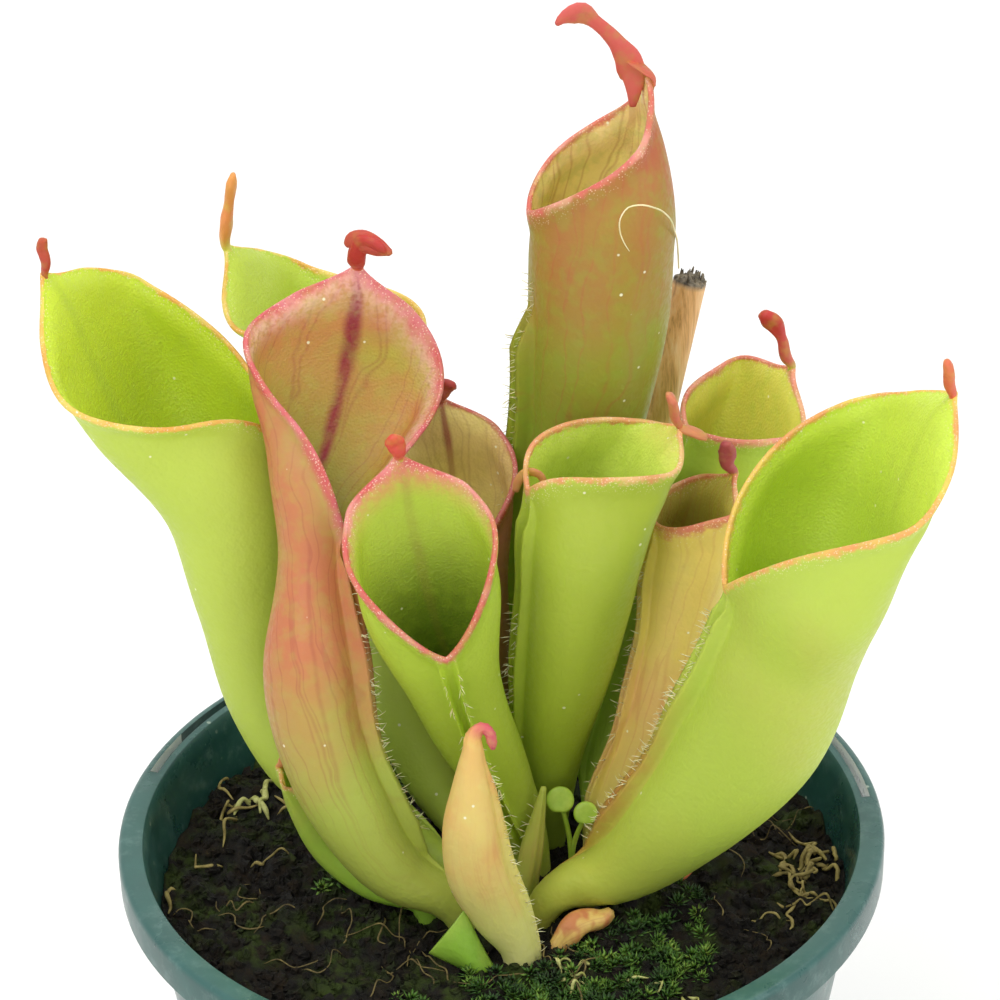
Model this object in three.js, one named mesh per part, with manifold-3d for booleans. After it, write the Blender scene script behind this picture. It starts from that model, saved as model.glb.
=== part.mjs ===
// A sun pitcher plant in a round nursery pot, in millimetres, +Z up.
// The origin is the centre of the pot's underside. X runs to the right, Y away from the front.
import * as THREE from 'three';
import { mergeVertices } from 'three/addons/utils/BufferGeometryUtils.js';
import Module from 'manifold-3d';

const wasm = await Module();
wasm.setup();

// Driving sizes
const POT_HEIGHT = 90;
const POT_RIM_RADIUS = 55;
const POT_MOUTH_RADIUS = 51.2;
const POT_FLOOR_RADIUS = 36;
const POT_WALL = 1.1;
const POT_FLOOR = 2.2;
const RIM_THICKNESS = 1.3;
const SKIRT_DROP = 5.6;
const SKIRT_WALL = 1.2;
const POT_SEGMENTS = 48;
const SLOT_ARC = 45;
const DRAIN_RADIUS = 2.3;
const SOIL_HEIGHT = 80.2;
const SOIL_SEGMENTS = 40;
const FIT_GAP = 0.32;
const CROWN_X = 3;
const CROWN_Y = -1.5;
const CROWN_HALF_WIDTH = 18.5;
const CROWN_HALF_DEPTH = 25;
const CROWN_TOP = 78;
const CROWN_BOTTOM = 69;
const LEAF_FOOT = 76;
const LEAF_WALL = 0.9;
const STAKE_RADIUS = 2.4;

// Colours and finishes taken by eye from the plant
const LOOKS = {
  pot: { color: 0x2f5a56, roughness: 0.35 },
  soil: { color: 0x2a241c, roughness: 1.0 },
  crown: { color: 0x6b5a34, roughness: 0.9 },
  stake: { color: 0xa08458, roughness: 0.8 },
  greenLeaf: { color: 0x9fbe3a, roughness: 0.55 },
  redLeaf: { color: 0xc08a66, roughness: 0.55 },
  amberLeaf: { color: 0xb5a24e, roughness: 0.55 },
  youngLeaf: { color: 0xd9b467, roughness: 0.6 },
  fadedLeaf: { color: 0xd08a62, roughness: 0.7 },
};

const V = (x, y, z) => new THREE.Vector3(x, y, z);
const clamp = (x, low, high) => Math.min(high, Math.max(low, x));
const radians = (degrees) => (degrees * Math.PI) / 180;

// A soft curve through points, with its parameter running 0 to 1 by chord length.
function pathThrough(rows) {
  const points = rows.map((row) => V(row[0], row[1], row[2]));
  const knots = [0];
  for (let i = 1; i < points.length; i++) {
    knots.push(knots[i - 1] + points[i].distanceTo(points[i - 1]));
  }
  const length = knots[knots.length - 1];
  for (let i = 0; i < knots.length; i++) knots[i] /= length;
  const chord = (i) => points[i + 1].clone().sub(points[i]).divideScalar(knots[i + 1] - knots[i]);
  const slopes = points.map((point, i) => {
    if (i === 0) return chord(0);
    if (i === points.length - 1) return chord(i - 1);
    const before = knots[i] - knots[i - 1];
    const after = knots[i + 1] - knots[i];
    return chord(i - 1).multiplyScalar(after).addScaledVector(chord(i), before).divideScalar(before + after);
  });
  const at = (value) => {
    const t = clamp(value, 0, 1);
    let i = 0;
    while (i < points.length - 2 && t > knots[i + 1]) i++;
    const step = knots[i + 1] - knots[i];
    const u = (t - knots[i]) / step;
    const result = V(0, 0, 0);
    result.addScaledVector(points[i], 2 * u ** 3 - 3 * u ** 2 + 1);
    result.addScaledVector(slopes[i], (u ** 3 - 2 * u ** 2 + u) * step);
    result.addScaledVector(points[i + 1], -2 * u ** 3 + 3 * u ** 2);
    result.addScaledVector(slopes[i + 1], (u ** 3 - u ** 2) * step);
    return result;
  };
  return { at, length };
}

// Rows of [t, value, value ...] joined smoothly, without overshoot.
function smoothTable(rows) {
  const count = rows[0].length - 1;
  const slope = (i, k) => (rows[i + 1][k] - rows[i][k]) / (rows[i + 1][0] - rows[i][0]);
  const bend = (i, k) => {
    if (i === 0) return slope(0, k);
    if (i === rows.length - 1) return slope(i - 1, k);
    const a = slope(i - 1, k);
    const b = slope(i, k);
    return a * b > 0 ? (2 * a * b) / (a + b) : 0;
  };
  return (value) => {
    const t = clamp(value, rows[0][0], rows[rows.length - 1][0]);
    let i = 0;
    while (i < rows.length - 2 && t > rows[i + 1][0]) i++;
    const step = rows[i + 1][0] - rows[i][0];
    const u = (t - rows[i][0]) / step;
    const result = [];
    for (let k = 1; k <= count; k++) {
      const start = (2 * u ** 3 - 3 * u ** 2 + 1) * rows[i][k] + (u ** 3 - 2 * u ** 2 + u) * step * bend(i, k);
      const end = (-2 * u ** 3 + 3 * u ** 2) * rows[i + 1][k] + (u ** 3 - u ** 2) * step * bend(i + 1, k);
      result.push(start + end);
    }
    return result;
  };
}

// Triangles are collected here and become one geometry.
class Shell {
  constructor() {
    this.points = [];
    this.faces = [];
  }
  point(p) {
    this.points.push(p.x, p.y, p.z);
    return this.points.length / 3 - 1;
  }
  ring(points) {
    return points.map((p) => this.point(p));
  }
  quad(a, b, c, d) {
    this.faces.push(a, b, c, a, c, d);
  }
  band(lower, upper) {
    const n = lower.length;
    for (let i = 0; i < n; i++) {
      const j = (i + 1) % n;
      this.quad(lower[i], lower[j], upper[j], upper[i]);
    }
  }
  fan(ring, centre, outward) {
    const middle = this.point(centre);
    for (let i = 0; i < ring.length; i++) {
      const j = (i + 1) % ring.length;
      if (outward) this.faces.push(ring[i], ring[j], middle);
      else this.faces.push(ring[j], ring[i], middle);
    }
  }
  geometry() {
    const result = new THREE.BufferGeometry();
    result.setAttribute('position', new THREE.Float32BufferAttribute(this.points, 3));
    result.setIndex(this.faces);
    return result;
  }
}

function solidFrom(geometry) {
  const bare = geometry.clone();
  bare.deleteAttribute('normal');
  bare.deleteAttribute('uv');
  const merged = mergeVertices(bare, 1e-4);
  const vertProperties = new Float32Array(merged.attributes.position.array);
  const triVerts = new Uint32Array(merged.index.array);
  return new wasm.Manifold(new wasm.Mesh({ numProp: 3, vertProperties, triVerts }));
}

function geometryFrom(solid) {
  const mesh = solid.getMesh();
  const result = new THREE.BufferGeometry();
  result.setAttribute('position', new THREE.BufferAttribute(new Float32Array(mesh.vertProperties), 3));
  result.setIndex(new THREE.BufferAttribute(new Uint32Array(mesh.triVerts), 1));
  return result;
}

// A closed rod along points [x, y, z, half width, half thickness], with both ends rounded off by a fan.
function rod(rows, sides, steps) {
  const path = pathThrough(rows);
  const knots = [0];
  for (let i = 1; i < rows.length; i++) {
    const a = V(...rows[i - 1].slice(0, 3));
    knots.push(knots[i - 1] + a.distanceTo(V(...rows[i].slice(0, 3))));
  }
  const size = smoothTable(rows.map((row, i) => [knots[i] / path.length, row[3], row[4] ?? row[3]]));
  const shell = new Shell();
  let across = null;
  let previous = null;
  for (let k = 0; k <= steps; k++) {
    const t = k / steps;
    const along = path.at(t + 0.01).sub(path.at(t - 0.01)).normalize();
    if (!across) across = Math.abs(along.z) > 0.8 ? V(1, 0, 0) : V(0, 0, 1).cross(along);
    across.addScaledVector(along, -across.dot(along)).normalize();
    const thick = along.clone().cross(across);
    const [wide, deep] = size(t);
    const centre = path.at(t);
    const points = [];
    for (let i = 0; i < sides; i++) {
      const angle = (2 * Math.PI * i) / sides;
      const p = centre.clone().addScaledVector(across, wide * Math.cos(angle));
      points.push(p.addScaledVector(thick, deep * Math.sin(angle)));
    }
    const ring = shell.ring(points);
    if (previous) shell.band(previous, ring);
    else shell.fan(ring, centre.clone().addScaledVector(along, -0.05 * deep), false);
    if (k === steps) shell.fan(ring, centre.clone().addScaledVector(along, 0.6 * deep), true);
    previous = ring;
  }
  return solidFrom(shell.geometry());
}

// The pitchers. Each one is a leaf rolled into a tube.
//   spine: points from the foot, up the middle of the tube, to the tip of the hood at the back
//   turn: [t, degrees] the way the back of the leaf faces round +Z, counted from +X
//   form: [t, half width, depth to the back, depth to the front] of the tube's section
//   notch: where along the spine the front of the mouth starts; arch: how the rim climbs to the tip
//   wing: height of the ridge down the front
//   spoon: [x, y, z, half width, half thickness] from the tip of the hood onwards
const PITCHERS = [
  {
    name: 'pitcher_front_left',
    look: 'redLeaf',
    spine: [
      [-5.5, -11.6, 76],
      [-5.8, -11.7, 82],
      [-8.2, -11.9, 85.4],
      [-14.5, -12, 89.5],
      [-21.8, -10.5, 102],
      [-25.4, -6.5, 116.2],
      [-25, -1.5, 129.5],
      [-23.8, 4.5, 140.5],
      [-21.7, 12, 150.5],
      [-19, 18, 161.4],
      [-17.5, 22, 169.6],
    ],
    turn: [
      [0, 200],
      [0.45, 170],
      [0.65, 125],
      [1, 95],
    ],
    form: [
      [0, 2.5, 2.3, 2.3],
      [0.06, 2.7, 2.4, 2.5],
      [0.18, 4.5, 4, 5],
      [0.32, 6, 6, 6],
      [0.47, 7, 7, 6],
      [0.61, 5.4, 5.5, 5],
      [0.73, 9, 6.5, 6],
      [0.86, 14, 6, 7],
      [0.95, 10, 3, 5],
      [1, 1, 0.8, 1],
    ],
    notch: 0.65,
    arch: [1.6, 1.1],
    lip: 1.3,
    wing: 2.2,
    spoon: [
      [-1, -0.4, 0.9, 1.2, 0.9],
      [-0.7, -1.4, 3.5, 1.9, 1.3],
      [0.9, -2.4, 4.2, 2.5, 1.6],
      [2.5, -3, 2.7, 1.4, 0.9],
    ],
  },
  {
    name: 'pitcher_front_middle',
    look: 'greenLeaf',
    spine: [
      [4.5, 1.5, 76],
      [4.4, 1.5, 82.2],
      [0, 0.5, 97.2],
      [-4.7, -3, 111.6],
      [-7.7, -6, 125.3],
      [-9.5, -7, 137.3],
      [-11.1, -4.5, 145.5],
      [-12.4, -1.5, 152.4],
    ],
    turn: [
      [0, 80],
      [0.5, 95],
      [1, 105],
    ],
    form: [
      [0, 2.5, 2.2, 2.2],
      [0.07, 2.6, 2.3, 2.3],
      [0.2, 4, 3.5, 3.5],
      [0.38, 5.6, 5, 5],
      [0.53, 6.6, 5.5, 5],
      [0.76, 9.8, 6, 6],
      [0.92, 8.5, 3, 5],
      [1, 1, 0.8, 1],
    ],
    notch: 0.66,
    arch: [1.6, 1.2],
    lip: 1.3,
    wing: 1.8,
    spoon: [
      [-0.3, -0.1, 0.7, 1.1, 0.8],
      [-0.7, -0.6, 2.4, 1.4, 0.9],
      [-0.9, -1.2, 3.5, 0.7, 0.5],
    ],
  },
  {
    name: 'pitcher_middle_right',
    look: 'greenLeaf',
    spine: [
      [7, 9, 76],
      [7, 9.2, 82.2],
      [7.3, 9, 98.2],
      [9.2, 7.4, 112.8],
      [11.4, 6, 126.8],
      [14.6, 5.6, 136],
      [19, 6.4, 144],
      [25.2, 7.6, 151.5],
    ],
    turn: [
      [0, 30],
      [0.5, 20],
      [1, 20],
    ],
    form: [
      [0, 2.5, 2.2, 2.2],
      [0.06, 2.6, 2.3, 2.3],
      [0.18, 4, 4, 3.6],
      [0.42, 7.2, 7.2, 5.8],
      [0.61, 8.6, 8.6, 7.2],
      [0.75, 9.2, 6.6, 10.6],
      [0.88, 8, 3, 15],
      [0.95, 5, 1.5, 13],
      [1, 1, 0.8, 1],
    ],
    notch: 0.8,
    arch: [1.8, 1.1],
    lip: 1.2,
    wing: 1.6,
    spoon: [
      [0.3, -0.4, 1.5, 1.3, 0.9],
      [0.2, -1.1, 4.1, 2, 1],
      [0.1, -1.8, 6.3, 0.9, 0.6],
    ],
  },
  {
    name: 'pitcher_right',
    look: 'greenLeaf',
    spine: [
      [5.5, -10, 76],
      [5.8, -10, 82.6],
      [8.4, -10, 85.4],
      [14, -10, 87.4],
      [26.5, -13, 100.6],
      [35.4, -15, 115],
      [40.7, -18, 131.5],
      [46.3, -19.8, 148.9],
      [53.5, -20, 161.6],
      [59.6, -20, 170.9],
    ],
    turn: [
      [0, -20],
      [0.5, -5],
      [1, 10],
    ],
    form: [
      [0, 2.5, 2.3, 2.3],
      [0.06, 2.8, 2.6, 2.5],
      [0.17, 5, 5, 5],
      [0.32, 7, 8, 8],
      [0.46, 9, 10, 10],
      [0.61, 11, 9, 10],
      [0.75, 16, 8, 14],
      [0.87, 15.2, 4, 16.5],
      [0.94, 10.6, 2, 14],
      [0.98, 5.5, 1.2, 8],
      [1, 1, 0.8, 1],
    ],
    notch: 0.67,
    arch: [1.8, 1.25],
    lip: 1.2,
    wing: 2.6,
    spoon: [
      [0.3, -0.2, 0.9, 1.1, 0.8],
      [0.2, -0.9, 3.3, 1.3, 0.9],
      [-0.3, -1.6, 4.9, 0.6, 0.5],
    ],
  },
  {
    name: 'pitcher_left',
    look: 'greenLeaf',
    spine: [
      [-6, -4.5, 76],
      [-6.2, -4.4, 82.4],
      [-11.4, -2, 87.2],
      [-20.3, 3, 90.8],
      [-28.7, 6, 97.5],
      [-33.5, 9, 106.4],
      [-36.3, 12.5, 121.2],
      [-39.6, 15.8, 136.4],
      [-46.6, 18.2, 148.6],
      [-54.2, 18, 164],
      [-60.2, 18.3, 172],
    ],
    turn: [
      [0, 190],
      [0.5, 175],
      [1, 160],
    ],
    form: [
      [0, 2.5, 2.3, 2.3],
      [0.06, 2.6, 2.4, 2.4],
      [0.18, 4, 4, 4],
      [0.42, 5.5, 5.5, 6],
      [0.61, 8.5, 7, 10.5],
      [0.72, 11.2, 7, 13.4],
      [0.8, 13.3, 6.5, 15.2],
      [0.88, 13.9, 5.5, 16.5],
      [0.95, 10.4, 3, 13],
      [1, 1, 0.8, 1],
    ],
    notch: 0.68,
    arch: [1.6, 1.3],
    lip: 1.2,
    wing: 2.2,
    spoon: [
      [-0.5, -0.2, 1.1, 0.7, 0.6],
      [-0.8, -0.7, 3.7, 0.8, 0.6],
      [-0.5, -1.2, 5.1, 0.6, 0.4],
    ],
  },
  {
    name: 'pitcher_back_left',
    look: 'greenLeaf',
    spine: [
      [-4.5, 5.5, 76],
      [-4.7, 5.8, 82.2],
      [-9.7, 9.5, 91],
      [-14.6, 15.2, 102],
      [-16, 20, 112.5],
      [-17.7, 25, 126.5],
      [-20.8, 30, 140.2],
      [-28.1, 36.5, 154.6],
      [-36.2, 39, 165.3],
    ],
    turn: [
      [0, 190],
      [0.5, 165],
      [1, 160],
    ],
    form: [
      [0, 2.5, 2.3, 2.3],
      [0.06, 2.6, 2.4, 2.4],
      [0.18, 4, 4, 4],
      [0.42, 5.5, 5.5, 5.5],
      [0.61, 7, 7, 7],
      [0.75, 10, 6, 14],
      [0.88, 10.5, 3, 22.5],
      [0.95, 8, 2, 19],
      [1, 1, 0.8, 1],
    ],
    notch: 0.76,
    arch: [1.6, 1.6],
    lip: 1.2,
    wing: 2,
    spoon: [
      [-0.8, 0, 2.4, 1.6, 0.9],
      [-0.3, -0.4, 6, 0.9, 0.8],
      [0.2, -0.8, 9, 1.3, 0.9],
      [0.6, -1.2, 10.8, 0.6, 0.4],
    ],
  },
  {
    name: 'pitcher_tall_back',
    look: 'amberLeaf',
    spine: [
      [4, 17.5, 76],
      [4.1, 17.6, 82.2],
      [5.6, 19.6, 92],
      [7.6, 23.2, 106.4],
      [9.7, 25, 122.3],
      [12.4, 26, 138.3],
      [14.5, 26, 154.6],
      [16.5, 27, 168.3],
      [19.5, 28, 181.9],
      [20.8, 29, 194.1],
    ],
    turn: [
      [0, 40],
      [0.5, 20],
      [1, 10],
    ],
    form: [
      [0, 2.5, 2.3, 2.3],
      [0.05, 2.6, 2.4, 2.4],
      [0.17, 4, 4, 4],
      [0.32, 6, 6, 6],
      [0.51, 8, 8.5, 7.5],
      [0.7, 10, 10.5, 9.5],
      [0.82, 10.5, 9, 11],
      [0.92, 7, 5, 9.5],
      [1, 1, 0.8, 1],
    ],
    notch: 0.82,
    arch: [1.9, 1.4],
    lip: 1.3,
    wing: 3,
    spoon: [
      [0.3, -0.4, 1.2, 1.5, 0.9],
      [-2, -1.4, 5.4, 1.1, 0.9],
      [-5.2, -2.6, 9.4, 1.4, 1],
      [-8, -3.6, 11.3, 1.8, 1.1],
      [-10.4, -4.4, 9.9, 0.6, 0.4],
    ],
  },
  {
    name: 'pitcher_middle_back',
    look: 'redLeaf',
    spine: [
      [-1.6, 11, 76],
      [-1.6, 11.1, 82.2],
      [-1.2, 12.2, 89.4],
      [-2.2, 14, 102.1],
      [-3.6, 15.5, 114.9],
      [-4.8, 17, 127.5],
      [-5.6, 19.5, 138.8],
      [-7, 22.5, 147.6],
    ],
    turn: [
      [0, 90],
      [0.5, 90],
      [1, 100],
    ],
    form: [
      [0, 2.5, 2.2, 2.2],
      [0.07, 2.6, 2.3, 2.3],
      [0.2, 3.5, 3.5, 3.5],
      [0.42, 5, 5, 5],
      [0.61, 6, 5.5, 5.5],
      [0.8, 8, 6, 6],
      [0.92, 7, 3, 5],
      [1, 1, 0.8, 1],
    ],
    notch: 0.68,
    arch: [1.6, 1.1],
    lip: 1.2,
    wing: 1.4,
    spoon: [
      [0.2, -0.2, 0.8, 1, 0.8],
      [1, -0.6, 2.4, 1.4, 0.9],
      [2, -1, 2.6, 0.8, 0.5],
    ],
  },
  {
    name: 'pitcher_right_inner',
    look: 'redLeaf',
    spine: [
      [14, 2.5, 76],
      [14.1, 2.6, 82.2],
      [17, 4, 91],
      [22.3, 6.2, 103.3],
      [25.4, 8.5, 115.2],
      [27.8, 10.5, 125.6],
      [29.9, 11, 135.1],
      [32.6, 12, 141.1],
    ],
    turn: [
      [0, 20],
      [1, 20],
    ],
    form: [
      [0, 2.5, 2.2, 2.2],
      [0.07, 2.6, 2.3, 2.3],
      [0.2, 3.5, 3.5, 3.5],
      [0.42, 5, 5, 4.5],
      [0.61, 5.5, 5.5, 5],
      [0.8, 6.5, 4.5, 6.5],
      [0.92, 5.5, 2.5, 6.5],
      [1, 1, 0.8, 1],
    ],
    notch: 0.87,
    arch: [1.5, 1.6],
    lip: 1.2,
    wing: 1.4,
    spoon: [
      [0.4, -0.4, 1.3, 1.3, 0.9],
      [0.4, -1, 3.7, 1.7, 1.1],
      [-0.1, -1.6, 5.7, 0.8, 0.6],
    ],
  },
  {
    name: 'pitcher_right_back',
    look: 'greenLeaf',
    spine: [
      [14, 10, 76],
      [14.2, 10.2, 82.2],
      [16, 14, 92],
      [20.5, 18.1, 102.4],
      [25.4, 21.3, 114],
      [30.4, 23.8, 125.9],
      [36.8, 25.6, 139.5],
      [41.7, 26, 149.9],
    ],
    turn: [
      [0, 20],
      [0.5, 20],
      [1, 25],
    ],
    form: [
      [0, 2.5, 2.2, 2.2],
      [0.07, 2.6, 2.3, 2.3],
      [0.2, 3.5, 3.5, 3.5],
      [0.42, 5, 5, 5],
      [0.61, 6, 6, 6],
      [0.8, 8.5, 4, 9],
      [0.92, 9, 2, 10],
      [1, 1, 0.8, 1],
    ],
    notch: 0.84,
    arch: [1.5, 1.3],
    lip: 1.2,
    wing: 1.4,
    spoon: [
      [0.8, -0.3, 1.3, 1.1, 0.8],
      [-0.2, -0.9, 4.7, 0.9, 0.8],
      [-2, -1.5, 7.3, 1.7, 1.2],
      [-3.2, -1.9, 8.1, 0.8, 0.6],
    ],
  },
];

// Where the columns of a tube stand round its section: the middle of the back is 0, the front is pi.
const COLUMNS = [-3.0, -2.72, -2.33, -1.9, -1.45, -1.0, -0.6, -0.27];
COLUMNS.push(0, 0.27, 0.6, 1.0, 1.45, 1.9, 2.33, 2.72, 3.0, Math.PI);
const ROWS = [0, 0.06, 0.15, 0.26, 0.38, 0.5, 0.61, 0.71, 0.8, 0.88, 0.95, 1];
const FIRST_HOLLOW_ROW = 3;

function leafOf(leaf) {
  const path = pathThrough(leaf.spine);
  const turn = smoothTable(leaf.turn);
  const form = smoothTable(leaf.form);
  const rimAt = (v) => {
    const x = 1 - Math.abs(1 - Math.abs(v) / Math.PI);
    const [power, rise] = leaf.arch;
    return 1 - (1 - leaf.notch) * (1 - (1 - x ** power) ** rise);
  };
  const frameAt = (t) => {
    const up = path.at(t + 1e-3).sub(path.at(t - 1e-3)).normalize();
    const angle = radians(turn(t)[0]);
    const back = V(Math.cos(angle), Math.sin(angle), 0);
    back.addScaledVector(up, -back.dot(up)).normalize();
    return { centre: path.at(t), up, back, side: up.clone().cross(back) };
  };
  // A point on the outer face: s runs from the foot to the rim, v round the tube.
  const outer = (s, v) => {
    const top = rimAt(v);
    const t = s * top;
    const { centre, back, side } = frameAt(t);
    const [wide, deepBack, deepFront] = form(t);
    const flare = leaf.lip * Math.exp(-((((top - t) * path.length) / 2.5) ** 2));
    const x = (wide + flare) * Math.sin(v);
    const depth = Math.cos(v) > 0 ? deepBack : deepFront;
    return centre.addScaledVector(side, x).addScaledVector(back, (depth + flare) * Math.cos(v));
  };
  const normal = (s, v) => {
    const s0 = Math.max(0, s - 0.012);
    const s1 = Math.min(1, s + 0.012);
    const along = outer(s1, v).sub(outer(s0, v));
    const round = outer(s, v + 0.06).sub(outer(s, v - 0.06));
    return round.cross(along).normalize();
  };
  return { path, frameAt, rimAt, outer, normal };
}

function pitcher(leaf) {
  const { path, frameAt, rimAt, outer, normal } = leafOf(leaf);
  const shell = new Shell();
  const outside = ROWS.map((s) =>
    shell.ring(
      COLUMNS.map((v) => {
        const point = outer(s, v);
        if (v !== Math.PI) return point;
        const t = s * rimAt(v);
        const along = clamp((t - 0.1) / 0.12, 0, 1) * clamp((leaf.notch - t) / 0.05, 0, 1);
        return point.addScaledVector(normal(s, v), leaf.wing * along);
      }),
    ),
  );
  for (let k = 1; k < ROWS.length; k++) shell.band(outside[k - 1], outside[k]);
  shell.fan(outside[0], frameAt(0).centre, false);
  const inside = ROWS.slice(FIRST_HOLLOW_ROW).map((s) =>
    shell.ring(COLUMNS.map((v) => outer(s, v).addScaledVector(normal(s, v), -LEAF_WALL))),
  );
  shell.band(outside[ROWS.length - 1], inside[inside.length - 1]);
  for (let k = inside.length - 1; k > 0; k--) shell.band(inside[k], inside[k - 1]);
  const floor = ROWS[FIRST_HOLLOW_ROW] * 0.9;
  shell.fan(inside[0], path.at(floor), true);
  const root = [0.93, 0.985].map((s) => outer(s, 0).addScaledVector(normal(s, 0), -LEAF_WALL / 2));
  const neck = root.map((p) => [p.x, p.y, p.z, 1.3, 0.8]);
  const tip = leaf.spine[leaf.spine.length - 1];
  const cup = leaf.spoon.map(([x, y, z, wide, thick]) => [tip[0] + x, tip[1] + y, tip[2] + z, wide, thick]);
  return solidFrom(shell.geometry()).add(rod([...neck, ...cup], 6, 8));
}

// Small leaves, buds and shoots: closed rods.
const SMALL = [
  {
    name: 'young_pitcher',
    look: 'youngLeaf',
    steps: 12,
    sides: 12,
    rows: [
      [2.6, -19.4, 76, 2.2, 2.2],
      [2.4, -19.4, 82, 2.6, 2.5],
      [0, -19.2, 88.5, 4.2, 3.4],
      [-2.4, -18.9, 95, 5, 4.2],
      [-3, -18.5, 101.5, 4.7, 4],
      [-3, -18, 108.5, 3.2, 2.8],
      [-3.1, -17.6, 114, 1.9, 1.7],
      [-2.7, -17.4, 116.8, 1.3, 1.1],
      [-1.5, -17.4, 116.6, 0.9, 0.8],
      [-1.1, -17.4, 115.2, 0.6, 0.5],
    ],
  },
  {
    name: 'small_pitcher_left',
    look: 'greenLeaf',
    steps: 12,
    sides: 10,
    rows: [
      [-11, -8.2, 76, 1.8, 1.8],
      [-11.2, -8.1, 82, 1.9, 1.9],
      [-19, -6, 84.6, 2.2, 2.2],
      [-24.6, -5, 89.7, 2.4, 2.4],
      [-28.4, -5, 98.4, 2.2, 2.2],
      [-29.8, -5, 102.5, 2.4, 2],
      [-30.4, -5, 105.5, 1.2, 1],
    ],
  },
  {
    name: 'small_leaf_front',
    look: 'greenLeaf',
    steps: 7,
    sides: 10,
    rows: [
      [-3.8, -20.8, 76, 1.7, 1.3],
      [-4, -20.9, 81.8, 2.1, 1.3],
      [-6, -21.3, 85, 3.3, 1.2],
      [-8, -21.3, 85, 2.3, 1],
      [-11, -21.6, 83.6, 0.5, 0.4],
    ],
  },
  {
    name: 'small_shoot',
    look: 'greenLeaf',
    steps: 7,
    sides: 8,
    rows: [
      [3.2, -5.4, 76, 1.7, 1.4],
      [3.3, -5.3, 82, 1.8, 1.4],
      [4.2, -4.6, 88, 1.7, 1.3],
      [5.4, -3.6, 93.9, 1, 0.9],
      [6.2, -3, 98.2, 0.4, 0.4],
    ],
  },
  {
    name: 'faded_leaf',
    look: 'fadedLeaf',
    steps: 9,
    sides: 8,
    rows: [
      [7.8, -17.4, 76, 1.3, 1.2],
      [7.8, -17.3, 81.2, 1.4, 1.2],
      [9.6, -16.4, 83, 1.9, 1.5],
      [12.2, -15.2, 83.5, 1.7, 1.3],
      [14.2, -14.4, 83.4, 1.3, 1.1],
      [15.4, -13.9, 84, 0.8, 0.7],
    ],
  },
];

// The two round seed leaves of a seedling, each on its own thin stalk from one foot.
function seedling() {
  const stalks = [
    [
      [10, 1.5, 79, 0.5],
      [10, 1.5, 84, 0.5],
      [9.4, 1.6, 89, 0.45],
      [8.6, 1.4, 92.4, 0.45],
    ],
    [
      [10, 1.5, 80, 0.5],
      [10.4, 1.3, 85, 0.5],
      [11.4, 0.8, 88.6, 0.45],
      [12.2, 0.4, 90.6, 0.45],
    ],
  ];
  const blades = [
    [
      [8.6, 0.9, 91, 0.5, 0.3],
      [8.6, 1.3, 91.9, 1.7, 0.42],
      [8.6, 2, 93.4, 1.8, 0.42],
      [8.6, 2.6, 94.6, 0.6, 0.3],
    ],
    [
      [12.2, 0, 89.4, 0.5, 0.3],
      [12.2, 0.4, 90.2, 1.5, 0.42],
      [12.2, 1, 91.6, 1.6, 0.42],
      [12.2, 1.5, 92.6, 0.6, 0.3],
    ],
  ];
  let solid = rod(stalks[0], 5, 4).add(rod(stalks[1], 5, 4));
  for (const rows of blades) solid = solid.add(rod(rows, 8, 4));
  return solid;
}

// A soft, repeatable lumpiness for soil and root stock.
function lumps(x, y, size) {
  const a = Math.sin(x / size + 1.3 * Math.sin((y / size) * 0.8 + 0.5));
  const b = Math.sin((y / size) * 1.3 + 1.1 * Math.sin((x / size) * 0.9 + 2.1));
  const c = Math.sin((x + y) / (size * 0.55) + 0.7) * 0.5;
  return (a * b + c) / 1.5;
}

// A round solid turned from a closed profile of [radius, height] rows.
function turned(profile, segments) {
  const points = profile.map(([radius, height]) => new THREE.Vector2(radius, height));
  points.push(points[0].clone());
  const lathe = new THREE.LatheGeometry(points, segments);
  lathe.rotateX(Math.PI / 2);
  return solidFrom(lathe);
}

function mouthRadiusAt(z) {
  return POT_FLOOR_RADIUS + ((z - POT_FLOOR) / (POT_HEIGHT - POT_FLOOR)) * (POT_MOUTH_RADIUS - POT_FLOOR_RADIUS);
}

// The pot: floor, tapered wall, flat rim and the skirt that hangs from the rim's edge.
function pot() {
  const underRim = POT_HEIGHT - RIM_THICKNESS;
  const skirtInside = POT_RIM_RADIUS - SKIRT_WALL;
  let solid = turned(
    [
      [0, 0],
      [POT_FLOOR_RADIUS + POT_WALL - 0.8, 0],
      [POT_FLOOR_RADIUS + POT_WALL, 0.8],
      [mouthRadiusAt(underRim) + POT_WALL, underRim],
      [skirtInside, underRim],
      [skirtInside, POT_HEIGHT - SKIRT_DROP],
      [POT_RIM_RADIUS - 0.1, POT_HEIGHT - SKIRT_DROP],
      [POT_RIM_RADIUS, POT_HEIGHT - 0.6],
      [POT_RIM_RADIUS - 0.5, POT_HEIGHT],
      [POT_MOUTH_RADIUS + 0.4, POT_HEIGHT],
      [POT_MOUTH_RADIUS, POT_HEIGHT - 0.5],
      [POT_FLOOR_RADIUS, POT_FLOOR],
      [0, POT_FLOOR],
    ],
    POT_SEGMENTS,
  );
  for (const start of [118, 5]) solid = solid.subtract(arcSlot(start));
  for (let k = 0; k < 6; k++) {
    const hole = new THREE.CylinderGeometry(DRAIN_RADIUS, DRAIN_RADIUS, 8, 12);
    hole.rotateX(Math.PI / 2);
    hole.translate(27 * Math.cos(radians(60 * k)), 27 * Math.sin(radians(60 * k)), 1);
    solid = solid.subtract(solidFrom(hole));
  }
  return solid;
}

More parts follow.
